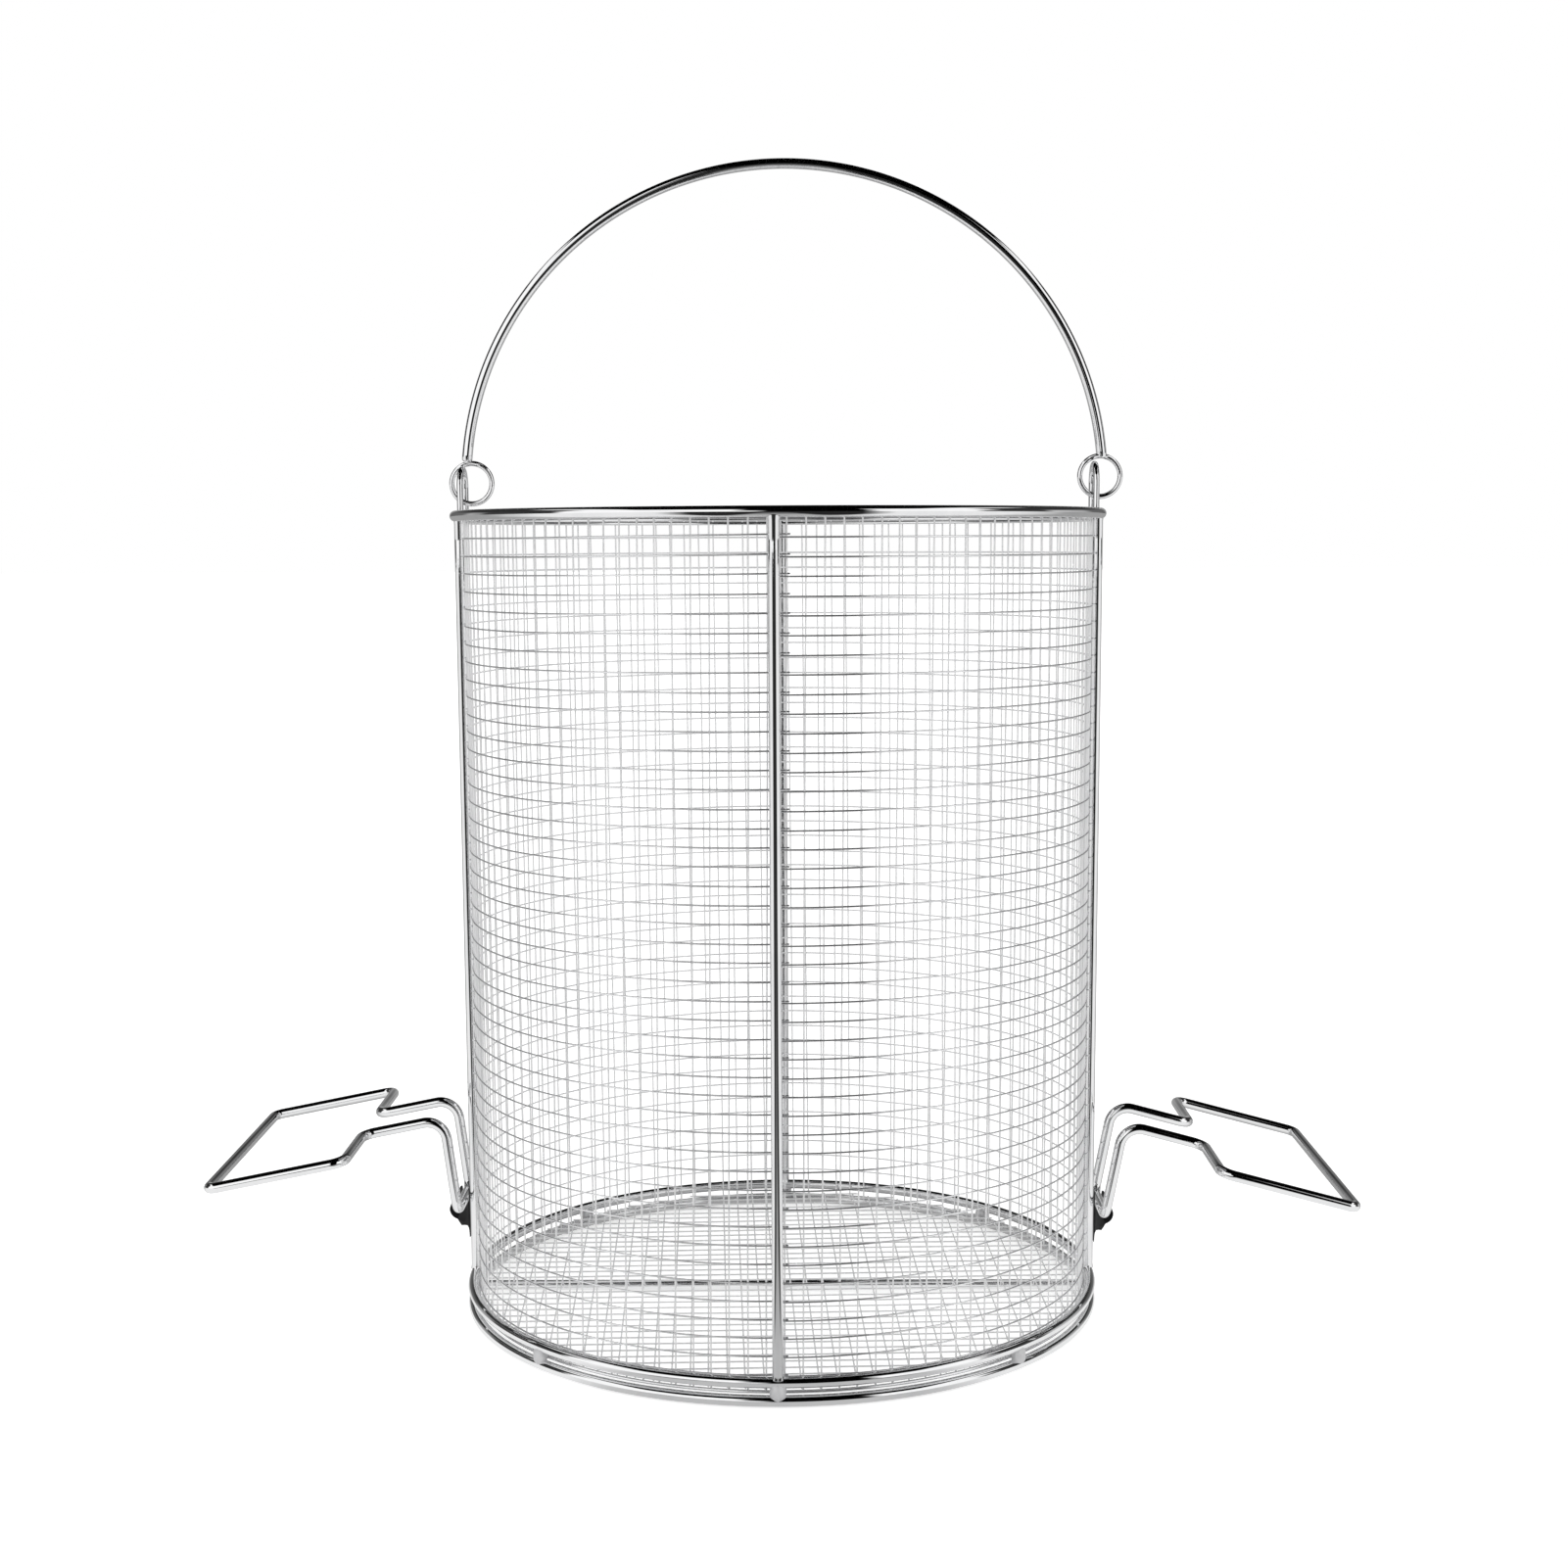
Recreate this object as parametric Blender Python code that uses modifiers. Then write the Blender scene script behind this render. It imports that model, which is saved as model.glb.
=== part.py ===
"""Parts cleaning basket: a rod frame with a mesh wall and floor, a swinging bail and two side loops.

Units are metres, +Z is up, +X is the basket's right side and -Y its front. The origin is at the
middle of the circle on which the foot ring stands.
"""
import math

import bmesh
import bpy
from mathutils import Matrix, Vector

MM = 0.001

# Fits
SEAT_GAP = 0.3 * MM            # clear space between pieces that touch or are welded on the real basket
EYE_REST_GAP = 2.0 * MM        # height of the bail's eyes over the rim, where the ears hold them

# Frame of round rod
FRAME_WIRE = 4.0 * MM          # rod of the three rings
RIM_RADIUS = 122.8 * MM        # centreline of the top rim
FRAME_TAPER = 1.4 * MM         # the base ring and the foot ring are this much smaller in radius
RIM_TOP = 308.8 * MM           # top of the rim above the floor
RING_SPACING = 6.7 * MM        # foot ring to base ring, centre to centre
STRUT_WIRE = 4.0 * MM
CROSSBAR_WIRE = 4.0 * MM
CROSSBAR_LIFT = 0.75 * MM      # crossbar's centre above the foot ring's centre

# Weld spacers between the two lower rings
SPACER_COUNT = 8
SPACER_WIDTH = 5.6 * MM        # along the rings
SPACER_HEIGHT = 6.6 * MM
SPACER_PROUD = 0.6 * MM        # how far they stand out past the rings
SPACER_INSET = 1.8 * MM        # how far they reach in from the rings' centreline

# Mesh
MESH_THICKNESS = 1.4 * MM      # two layers of wire
WALL_COLUMNS = 24              # the net of the solid is coarser than the real mesh
WALL_ROWS = 9
WALL_TOP_BELOW_RIM = 2.0 * MM
FLOOR_CELL = 17.2 * MM

# Ears on the rim
EAR_WIRE = 2.4 * MM
EAR_SPREAD = 14.0 * MM         # between the centres of an ear's two legs
EAR_HEIGHT = 15.6 * MM         # crown above the rim's top
EAR_INSET = 1.8 * MM           # the legs lap the rim's inner shoulder, this far in from its centreline
EAR_LAP = 1.5 * MM             # how far the legs reach below the rim's top

# Bail
BAIL_INSET = 1.0 * MM          # the bail's arc is this much smaller in radius than the rim
BAIL_WIRE = 4.0 * MM
BAIL_LIFT = 5.1 * MM           # middle of the bail's arc above the swing axis
BAIL_SIDE_PLAY = 2.4 * MM      # the loose bail stands this far to the right
EYE_WIRE = 2.0 * MM
EYE_OUTER = 17.4 * MM          # outer diameter of an eye
EYE_INSET = 2.0 * MM           # eyes' centres inside the rim's centreline

# Side loops: the legs go up from the cross wire in the hook, then the arms go out
LOOP_WIRE = 4.0 * MM
LOOP_LEG = 36.8 * MM           # cross wire to the knees
LOOP_ARM = 83.5 * MM           # knees to the end bar
LOOP_JOG = 32.1 * MM           # knees to where the arms step outwards
LOOP_NARROW = 17.0 * MM        # half the distance between the legs
LOOP_WIDE = 55.0 * MM          # half the distance between the outer arms
LOOP_KNEE_DROOP = 4.0          # degrees that the arms fall below square to the legs
LOOP_FOOT_BEND = 4.0 * MM
LOOP_KNEE_BEND = 7.5 * MM
LOOP_JOG_BEND = 5.0 * MM
LOOP_END_BEND = 3.4 * MM

# Hooks that hold the side loops, welded on by hand, so not quite level with each other
HOOK_HEIGHT_RIGHT = 35.6 * MM  # cross wire's centre above the floor
HOOK_HEIGHT_LEFT = 38.0 * MM
HOOK_LEAN_RIGHT = 11.0         # degrees outwards of the lip, on which the loop's legs rest
HOOK_LEAN_LEFT = 6.7
HOOK_HALF_WIDTH = 16.5 * MM
HOOK_PLATE = 0.7 * MM          # thickness of the back plate
HOOK_ABOVE = 6.7 * MM          # back plate above the cross wire's centre
HOOK_BELOW = 15.5 * MM         # tail of the back plate below it
HOOK_LIP_RISE = 2.0 * MM       # lip's tip above the cross wire's centre
HOOK_LIP_TIP = 0.9 * MM        # thickness of the lip at its tip
HOOK_LIP = 1.9 * MM            # thickness of the lip beside the cross wire
HOOK_WEB = 2.7 * MM            # thickness under the cross wire
HOOK_TAIL_TIP = 0.3 * MM
HOOK_UNDER_TURN = 80.0         # degrees that the outside goes round under the cross wire
HOOK_TAIL_CURVE = 2.4          # how quickly the outside then draws in to the tail

# Faceting
RING_SEGMENTS = 64
ROD_SIDES = 8
EYE_SEGMENTS = 24
ARC_STEP = math.radians(18)    # turn of a bent rod from one point to the next
BAIL_STEPS = 30
SPACER_SEGMENTS = 12
SPACER_ROWS = 8
HOOK_STEPS = 4
SHARP_EDGE = math.radians(50)
WELD_DISTANCE = 0.01 * MM
PIVOT_SIZE = 20 * MM

PARTS = "parts_cleaning_basket"
CUTTERS = "cutters"

BASE_RADIUS = RIM_RADIUS - FRAME_TAPER   # centreline of the base ring and the foot ring
BAIL_RADIUS = RIM_RADIUS - BAIL_INSET
EYE_REACH = RIM_RADIUS - EYE_INSET
RIM_Z = RIM_TOP - FRAME_WIRE / 2
FOOT_Z = FRAME_WIRE / 2 * math.cos(math.pi / ROD_SIDES)   # a flat of the rod's outline lies on the floor
BASE_Z = FOOT_Z + RING_SPACING
CROSSBAR_Z = FOOT_Z + CROSSBAR_LIFT
FLOOR_MESH_Z = CROSSBAR_Z + CROSSBAR_WIRE / 2 + SEAT_GAP + MESH_THICKNESS / 2
BAIL_PIVOT_Z = RIM_TOP + EYE_REST_GAP + EYE_WIRE / 2


def start_clean():
    """Remove what the scene holds and make the two collections."""
    for old in list(bpy.data.objects):
        bpy.data.objects.remove(old, do_unlink=True)
    for name in (PARTS, CUTTERS):
        bpy.context.scene.collection.children.link(bpy.data.collections.new(name))


def finish(name, colour, roughness, metallic):
    """A Principled material with one plain colour."""
    mat = bpy.data.materials.new(name)
    mat.use_nodes = True
    shader = mat.node_tree.nodes["Principled BSDF"]
    shader.inputs["Base Color"].default_value = (*colour, 1.0)
    shader.inputs["Roughness"].default_value = roughness
    shader.inputs["Metallic"].default_value = metallic
    return mat


def chrome(name):
    return finish(name + "_chrome", (0.80, 0.80, 0.81), 0.10, 1.0)


def black_coat(name):
    return finish(name + "_black_coat", (0.012, 0.012, 0.013), 0.45, 0.0)


def place(name, data, mat, parent=None, location=(0, 0, 0), rotation=(0, 0, 0), collection=PARTS):
    """Put mesh or curve data in the scene as one named object."""
    obj = bpy.data.objects.new(name, data)
    bpy.data.collections[collection].objects.link(obj)
    if mat is not None:
        data.materials.append(mat)
    obj.location = location
    obj.rotation_euler = rotation
    obj.parent = parent
    return obj


def pivot(name, location, rotation=(0, 0, 0)):
    """An empty on a joint's axis, for the moving pieces to hang from."""
    empty = bpy.data.objects.new(name, None)
    bpy.data.collections[PARTS].objects.link(empty)
    empty.location = location
    empty.rotation_euler = rotation
    empty.empty_display_size = PIVOT_SIZE
    return empty


def smooth(mesh):
    mesh.shade_smooth()
    mesh.set_sharp_from_angle(angle=SHARP_EDGE)


def hide_cutter(obj):
    obj.hide_render = True
    obj.display_type = "WIRE"


def cut(obj, cutter):
    """Take the cutter's shape out of the object."""
    boolean = obj.modifiers.new("cut_" + cutter.name, "BOOLEAN")
    boolean.operation = "DIFFERENCE"
    boolean.solver = "EXACT"
    boolean.object = cutter


def ring_object(name, radius, height, wire, mat, collection=PARTS):
    """A rod bent to a full ring: its outline, with a flat at the bottom, turned about Z."""
    mesh = bpy.data.meshes.new(name)
    outline = bmesh.new()
    corners = []
    for i in range(ROD_SIDES):
        angle = -2 * math.pi * (i + 0.5) / ROD_SIDES
        across = wire / 2 * math.cos(angle)
        up = wire / 2 * math.sin(angle)
        corners.append(outline.verts.new((radius + across, 0, up)))
    for i in range(ROD_SIDES):
        outline.edges.new((corners[i], corners[(i + 1) % ROD_SIDES]))
    outline.to_mesh(mesh)
    outline.free()
    ring = place(name, mesh, mat, location=(0, 0, height), collection=collection)
    turn = ring.modifiers.new("turn", "SCREW")
    turn.steps = RING_SEGMENTS
    turn.render_steps = RING_SEGMENTS
    turn.use_merge_vertices = True
    turn.merge_threshold = WELD_DISTANCE
    turn.use_smooth_shade = True
    return ring


def rod_mesh(name, start, end, wire, sides=ROD_SIDES):
    """A straight rod as a capped cylinder between two points."""
    start, end = Vector(start), Vector(end)
    along = end - start
    rod = bmesh.new()
    radius = wire / 2
    bmesh.ops.create_cone(
        rod, cap_ends=True, segments=sides, radius1=radius, radius2=radius, depth=along.length)
    turn = along.to_track_quat("Z", "Y").to_matrix().to_4x4()
    bmesh.ops.transform(rod, matrix=Matrix.Translation((start + end) / 2) @ turn, verts=rod.verts)
    mesh = bpy.data.meshes.new(name)
    rod.to_mesh(mesh)
    rod.free()
    smooth(mesh)
    return mesh


def bent_path(corners, bends, closed):
    """Points along straight runs through the corners, with an arc of the given radius at each corner."""
    points = []
    count = len(corners)
    for i, (corner, bend) in enumerate(zip(corners, bends)):
        corner = Vector(corner)
        if bend == 0 or (not closed and i in (0, count - 1)):
            points.append(corner)
            continue
        back = (Vector(corners[i - 1]) - corner).normalized()
        ahead = (Vector(corners[(i + 1) % count]) - corner).normalized()
        half = back.angle(ahead) / 2
        centre = corner + (back + ahead).normalized() * bend / math.sin(half)
        first = corner + back * bend / math.tan(half)
        turn = math.pi - 2 * half
        axis = back.cross(ahead)
        steps = max(2, math.ceil(turn / ARC_STEP))
        for step in range(steps + 1):
            sweep = Matrix.Rotation(-turn * step / steps, 3, axis)
            points.append(centre + sweep @ (first - centre))
    return points


def bent_rod(name, points, wire, mat, closed, parent=None, location=(0, 0, 0), rotation=(0, 0, 0)):
    """A rod that goes along the points, as a bevelled curve with filled ends."""
    curve = bpy.data.curves.new(name, "CURVE")
    curve.dimensions = "3D"
    curve.bevel_depth = wire / 2
    curve.bevel_resolution = ROD_SIDES // 2 - 2
    curve.use_fill_caps = True
    spline = curve.splines.new("POLY")
    spline.points.add(len(points) - 1)
    for spot, point in zip(spline.points, points):
        spot.co = (*point, 1.0)
    spline.use_cyclic_u = closed
    return place(name, curve, mat, parent, location, rotation)


def curve_to_mesh(obj):
    """The curve as a mesh object in the same place, with its ends welded shut."""
    depsgraph = bpy.context.evaluated_depsgraph_get()
    mesh = bpy.data.meshes.new_from_object(obj.evaluated_get(depsgraph))
    weld = bmesh.new()
    weld.from_mesh(mesh)
    bmesh.ops.remove_doubles(weld, verts=weld.verts, dist=WELD_DISTANCE)
    weld.to_mesh(mesh)
    weld.free()
    smooth(mesh)
    solid = bpy.data.objects.new(obj.name + "_solid", mesh)
    bpy.data.collections[PARTS].objects.link(solid)
    solid.matrix_world = obj.matrix_world
    name = obj.name
    bpy.data.objects.remove(obj, do_unlink=True)
    solid.name = name
    return solid


def around(radius, angle, height):
    """A point at an angle from the front, positive towards the right."""
    return Vector((radius * math.sin(angle), -radius * math.cos(angle), height))


def radius_at(height):
    """Centreline radius of the slightly tapered frame at a height."""
    share = (height - BASE_Z) / (RIM_Z - BASE_Z)
    return BASE_RADIUS + (RIM_RADIUS - BASE_RADIUS) * share


def build_rings():
    """The rim, the base ring, the foot ring, and the cutters that cope what is welded to them."""
    ring_object("top_rim", RIM_RADIUS, RIM_Z, FRAME_WIRE, chrome("top_rim"))
    ring_object("base_ring", BASE_RADIUS, BASE_Z, FRAME_WIRE, chrome("base_ring"))
    ring_object("foot_ring", BASE_RADIUS, FOOT_Z, FRAME_WIRE, chrome("foot_ring"))
    bored = FRAME_WIRE + 2 * SEAT_GAP
    cutters = {
        "rim": ring_object("rim_cutter", RIM_RADIUS, RIM_Z, bored, None, CUTTERS),
        "base": ring_object("base_cutter", BASE_RADIUS, BASE_Z, bored, None, CUTTERS),
        "foot": ring_object("foot_cutter", BASE_RADIUS, FOOT_Z, bored, None, CUTTERS),
    }
    for cutter in cutters.values():
        hide_cutter(cutter)
    return cutters


def build_struts(cutters):
    """Four uprights, coped over the base ring and under the rim."""
    for side, angle in (("front", 0), ("right", 90), ("back", 180), ("left", 270)):
        turn = math.radians(angle)
        name = side + "_strut"
        foot, head = around(BASE_RADIUS, turn, BASE_Z), around(RIM_RADIUS, turn, RIM_Z)
        mesh = rod_mesh(name, foot, head, STRUT_WIRE)
        strut = place(name, mesh, chrome(name))
        cut(strut, cutters["rim"])
        cut(strut, cutters["base"])


def build_crossbar(cutters):
    """The rod under the floor mesh, its ends coped to the inside of the foot ring."""
    reach = BASE_RADIUS - SPACER_INSET - SEAT_GAP
    mesh = rod_mesh("floor_crossbar", (-reach, 0, CROSSBAR_Z), (reach, 0, CROSSBAR_Z), CROSSBAR_WIRE)
    bar = place("floor_crossbar", mesh, chrome("floor_crossbar"))
    cut(bar, cutters["foot"])
    cut(bar, cutters["base"])


def build_spacers(cutters):
    """Weld nuggets that fill the gap between the two lower rings and swell a little outside it."""
    inner = BASE_RADIUS - SPACER_INSET
    outer = BASE_RADIUS + FRAME_WIRE / 2 + SPACER_PROUD
    shape = Matrix.Diagonal((SPACER_WIDTH / 2, (outer - inner) / 2, SPACER_HEIGHT / 2, 1.0))
    for i in range(SPACER_COUNT):
        turn = 2 * math.pi * i / SPACER_COUNT
        name = f"ring_spacer_{i + 1}"
        nugget = bmesh.new()
        bmesh.ops.create_uvsphere(nugget, u_segments=SPACER_SEGMENTS, v_segments=SPACER_ROWS, radius=1.0)
        bmesh.ops.transform(nugget, matrix=shape, verts=nugget.verts)
        mesh = bpy.data.meshes.new(name)
        nugget.to_mesh(mesh)
        nugget.free()
        smooth(mesh)
        centre = around((inner + outer) / 2, turn, (FOOT_Z + BASE_Z) / 2)
        spacer = place(name, mesh, chrome(name), location=centre, rotation=(0, 0, turn))
        cut(spacer, cutters["base"])
        cut(spacer, cutters["foot"])


def add_net(obj):
    """Turn every face edge into a strand, leaving the faces open."""
    net = obj.modifiers.new("strands", "WIREFRAME")
    net.thickness = MESH_THICKNESS
    net.use_even_offset = True
    net.use_boundary = True
    net.use_replace = True
    net.offset = 0.0


def build_wall_mesh():
    """The mesh cylinder: a line up the wall, turned about Z, with its faces opened to a net."""
    inside = STRUT_WIRE / 2 + SEAT_GAP + MESH_THICKNESS / 2
    low = FLOOR_MESH_Z + MESH_THICKNESS / 2 + SEAT_GAP + MESH_THICKNESS / 2
    high = RIM_TOP - WALL_TOP_BELOW_RIM
    line = bmesh.new()
    spots = []
    for row in range(WALL_ROWS + 1):
        height = high + (low - high) * row / WALL_ROWS
        spots.append(line.verts.new((radius_at(height) - inside, 0, height)))
    for upper, lower in zip(spots, spots[1:]):
        line.edges.new((upper, lower))
    mesh = bpy.data.meshes.new("wall_mesh")
    line.to_mesh(mesh)
    line.free()
    wall = place("wall_mesh", mesh, chrome("wall_mesh"))
    turn = wall.modifiers.new("turn", "SCREW")
    turn.steps = WALL_COLUMNS
    turn.render_steps = WALL_COLUMNS
    turn.use_merge_vertices = True
    turn.merge_threshold = WELD_DISTANCE
    add_net(wall)


def build_floor_mesh():
    """The mesh disc: a square net trimmed to a circle inside the weld spacers."""
    reach = BASE_RADIUS - FRAME_WIRE / 2 - SEAT_GAP
    cells = 2 * math.ceil(reach / FLOOR_CELL)
    sheet = bmesh.new()
    bmesh.ops.create_grid(sheet, x_segments=cells, y_segments=cells, size=cells * FLOOR_CELL / 2)
    mesh = bpy.data.meshes.new("floor_mesh")
    sheet.to_mesh(mesh)
    sheet.free()
    floor = place("floor_mesh", mesh, chrome("floor_mesh"), location=(0, 0, FLOOR_MESH_Z))
    add_net(floor)

    disc = bmesh.new()
    depth = 4 * MESH_THICKNESS
    bmesh.ops.create_cone(
        disc, cap_ends=True, segments=RING_SEGMENTS, radius1=reach, radius2=reach, depth=depth)
    disc_mesh = bpy.data.meshes.new("floor_disc")
    disc.to_mesh(disc_mesh)
    disc.free()
    trim = place("floor_disc", disc_mesh, None, location=(0, 0, FLOOR_MESH_Z), collection=CUTTERS)
    hide_cutter(trim)
    keep = floor.modifiers.new("trim", "BOOLEAN")
    keep.operation = "INTERSECT"
    keep.solver = "EXACT"
    keep.object = trim


def build_ears(cutters):
    """Inverted U staples that stand on the rim, in the plane along the rim."""
    half = EAR_SPREAD / 2
    foot = RIM_TOP - EAR_LAP
    crown = RIM_TOP + EAR_HEIGHT - EAR_WIRE / 2
    steps = math.ceil(math.pi / ARC_STEP)
    for side, sign in (("left", -1), ("right", 1)):
        x = sign * (RIM_RADIUS - EAR_INSET)
        points = [(x, -half, foot)]
        for step in range(steps + 1):
            angle = math.pi * step / steps
            points.append((x, -half * math.cos(angle), crown - half + half * math.sin(angle)))
        points.append((x, half, foot))
        ear = curve_to_mesh(bent_rod(side + "_ear", points, EAR_WIRE, chrome(side + "_ear"), False))
        cut(ear, cutters["rim"])


def build_bail():
    """The half circle handle and its two eyes, hung from an empty on the swing axis."""
    eye_radius = (EYE_OUTER - EYE_WIRE) / 2
    swing = pivot("bail_swing", (0, 0, BAIL_PIVOT_Z))
    for side, sign in (("left", -1), ("right", 1)):
        name = side + "_bail_eye"
        bpy.ops.mesh.primitive_torus_add(
            major_radius=eye_radius, minor_radius=EYE_WIRE / 2,
            major_segments=EYE_SEGMENTS, minor_segments=ROD_SIDES)
        made = bpy.context.active_object
        mesh = made.data
        bpy.data.objects.remove(made, do_unlink=True)
        mesh.name = name
        smooth(mesh)
        spot = (sign * EYE_REACH + BAIL_SIDE_PLAY, 0, eye_radius)
        place(name, mesh, chrome(name), swing, spot, (math.pi / 2, 0, 0))

    low = math.asin((EYE_OUTER - EYE_WIRE / 2 + SEAT_GAP - BAIL_LIFT) / BAIL_RADIUS)
    points = []
    for step in range(BAIL_STEPS + 1):
        angle = math.pi - low - (math.pi - 2 * low) * step / BAIL_STEPS
        x = BAIL_SIDE_PLAY + BAIL_RADIUS * math.cos(angle)
        points.append((x, 0, BAIL_LIFT + BAIL_RADIUS * math.sin(angle)))
    bent_rod("bail_rod", points, BAIL_WIRE, chrome("bail_rod"), False, swing)


def loop_points():
    """The centreline of a side loop, legs along +Z and arms along +X, before it leans."""
    droop = math.radians(LOOP_KNEE_DROOP)
    narrow, wide = LOOP_NARROW, LOOP_WIDE
    knee = Vector((0, 0, LOOP_LEG))
    arm = Vector((math.cos(droop), 0, -math.sin(droop)))
    side = Vector((0, 1, 0))
    front = [
        (Vector((0, 0, 0)) - side * narrow, LOOP_FOOT_BEND),
        (knee - side * narrow, LOOP_KNEE_BEND),
        (knee + arm * LOOP_JOG - side * narrow, LOOP_JOG_BEND),
        (knee + arm * LOOP_JOG - side * wide, LOOP_JOG_BEND),
        (knee + arm * LOOP_ARM - side * wide, LOOP_END_BEND),
    ]
    back = [(Vector((corner.x, -corner.y, corner.z)), bend) for corner, bend in reversed(front)]
    corners, bends = zip(*(front + back))
    return bent_path(corners, bends, True)


def hook_outline(lean):
    """The J in section, round the cross wire's centre: x outwards and y up."""
    bore = LOOP_WIRE / 2 + SEAT_GAP
    back = -bore - HOOK_PLATE
    points = [Vector((back, HOOK_ABOVE)), Vector((-bore, HOOK_ABOVE))]
    steps = math.ceil((math.pi - lean) / ARC_STEP)
    for step in range(steps + 1):
        angle = math.pi + (math.pi - lean) * step / steps
        points.append(Vector((bore * math.cos(angle), bore * math.sin(angle))))
    up_lean = Vector((math.sin(lean), math.cos(lean)))
    across = Vector((math.cos(lean), -math.sin(lean)))
    tip = across * bore + up_lean * HOOK_LIP_RISE
    points.append(tip)
    points.append(tip + across * HOOK_LIP_TIP)
    outer = bore + HOOK_LIP
    under = bore + HOOK_WEB
    for step in range(HOOK_STEPS + 1):
        share = step / HOOK_STEPS
        angle = -math.radians(HOOK_UNDER_TURN) * share
        radius = outer + (under - outer) * share
        points.append(Vector((radius * math.cos(angle), radius * math.sin(angle))))
    tail = Vector((back + HOOK_TAIL_TIP, -HOOK_BELOW))
    root = points[-1]
    for step in range(1, HOOK_STEPS):
        share = step / HOOK_STEPS
        easing = (1 - share) ** HOOK_TAIL_CURVE
        points.append(Vector((tail.x + (root.x - tail.x) * easing, root.y + (tail.y - root.y) * share)))
    points.append(tail)
    points.append(Vector((back, -HOOK_BELOW)))
    return points


def build_side(side, facing, height, lean):
    """One hook on its strut and the loop that rests in it; facing turns both to their side."""
    strut_face = radius_at(height + HOOK_ABOVE) + STRUT_WIRE / 2
    reach = strut_face + SEAT_GAP + HOOK_PLATE + SEAT_GAP + LOOP_WIRE / 2
    seat = (reach * math.cos(facing), 0, height)
    swing = pivot(side + "_loop_swing", seat, (0, 0, facing))
    name = side + "_side_loop"
    bent_rod(name, loop_points(), LOOP_WIRE, chrome(name), True, swing, rotation=(0, lean, 0))

    name = side + "_hook"
    outline = bpy.data.curves.new(name, "CURVE")
    outline.dimensions = "2D"
    outline.fill_mode = "BOTH"
    outline.extrude = HOOK_HALF_WIDTH
    spline = outline.splines.new("POLY")
    points = hook_outline(lean)
    spline.points.add(len(points) - 1)
    for spot, point in zip(spline.points, points):
        spot.co = (point.x, point.y, 0, 1)
    spline.use_cyclic_u = True
    place(name, outline, black_coat(name), location=seat, rotation=(math.pi / 2, 0, facing))


def main():
    start_clean()
    cutters = build_rings()
    build_struts(cutters)
    build_crossbar(cutters)
    build_spacers(cutters)
    build_wall_mesh()
    build_floor_mesh()
    build_ears(cutters)
    build_bail()
    build_side("right", 0, HOOK_HEIGHT_RIGHT, math.radians(HOOK_LEAN_RIGHT))
    build_side("left", math.pi, HOOK_HEIGHT_LEFT, math.radians(HOOK_LEAN_LEFT))


main()
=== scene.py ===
"""Dresses the parts cleaning basket: rods, rings, welded wire mesh, hooks and loops, in a plain studio.

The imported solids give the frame. Every piece that shows is modelled here over the solid that it stands for, the way
the basket is made: rods are drawn and bent, rings are bent round and butt welded, and the mesh is laid flat and
rolled up. All lengths are in metres, and angles on the basket count from the front to the right.
"""

import logging
import math
import random
from dataclasses import dataclass, field
from enum import Enum
from typing import Callable, Sequence

import bpy
from mathutils import Matrix, Vector


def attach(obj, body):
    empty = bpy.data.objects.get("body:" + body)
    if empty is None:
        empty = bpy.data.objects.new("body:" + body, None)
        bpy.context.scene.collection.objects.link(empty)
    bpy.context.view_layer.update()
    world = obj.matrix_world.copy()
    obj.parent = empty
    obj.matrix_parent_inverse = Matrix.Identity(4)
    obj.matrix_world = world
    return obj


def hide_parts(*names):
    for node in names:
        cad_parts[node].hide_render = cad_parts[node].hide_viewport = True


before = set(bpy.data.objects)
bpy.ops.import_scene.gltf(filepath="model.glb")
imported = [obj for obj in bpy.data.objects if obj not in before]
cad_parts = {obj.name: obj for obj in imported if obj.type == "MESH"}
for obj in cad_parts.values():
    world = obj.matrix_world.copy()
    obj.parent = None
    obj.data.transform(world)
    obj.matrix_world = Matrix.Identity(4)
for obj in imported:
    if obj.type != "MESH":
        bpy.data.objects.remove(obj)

Piece = bpy.types.Object
Socket = bpy.types.NodeSocket
Material = bpy.types.Material
Colour = tuple[float, float, float]
Pairs = Sequence[tuple[float, float]]

LOG = logging.getLogger("basket")
MM = 0.001
MERGE = 0.002 * MM
TURN = 2 * math.pi
ACROSS = Vector((1, 0, 0))
DEEP = Vector((0, 1, 0))
UP = Vector((0, 0, 1))


# Named options


class Body(Enum):
    """The moving bodies of the basket."""

    BASKET = "basket"
    BAIL = "bail"
    LEFT_LOOP = "left_side_loop"
    RIGHT_LOOP = "right_side_loop"


class Slot(Enum):
    """The material slots that the record names."""

    ROD = "chrome_rod"
    MESH = "plated_mesh"
    WELD = "plated_weld"
    BLACK = "black_coat"


class Side(Enum):
    """A side of the basket, as its angle in degrees."""

    FRONT = 0.0
    RIGHT = 90.0
    BACK = 180.0
    LEFT = 270.0

    @property
    def word(self) -> str:
        """Give the side's name as the pieces carry it."""
        return self.name.lower()

    @property
    def sign(self) -> int:
        """Give -1 for the left side and 1 for the others."""
        return -1 if self is Side.LEFT else 1


# Small tools


def set_mode(mode: str) -> None:
    """Go to edit mode or to object mode."""
    bpy.ops.object.mode_set(mode=mode)


def mark_all(marked: bool = True) -> None:
    """Select or deselect the whole mesh that is being edited."""
    bpy.ops.mesh.select_all(action="SELECT" if marked else "DESELECT")


def clear() -> None:
    """Go back to object mode with nothing selected."""
    if bpy.context.mode != "OBJECT":
        set_mode("OBJECT")
    bpy.ops.object.select_all(action="DESELECT")


def pick(piece: Piece) -> None:
    """Select one piece alone and make it the active one.

    Args:
        piece: The piece.
    """
    clear()
    piece.select_set(True)
    bpy.context.view_layer.objects.active = piece


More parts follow.
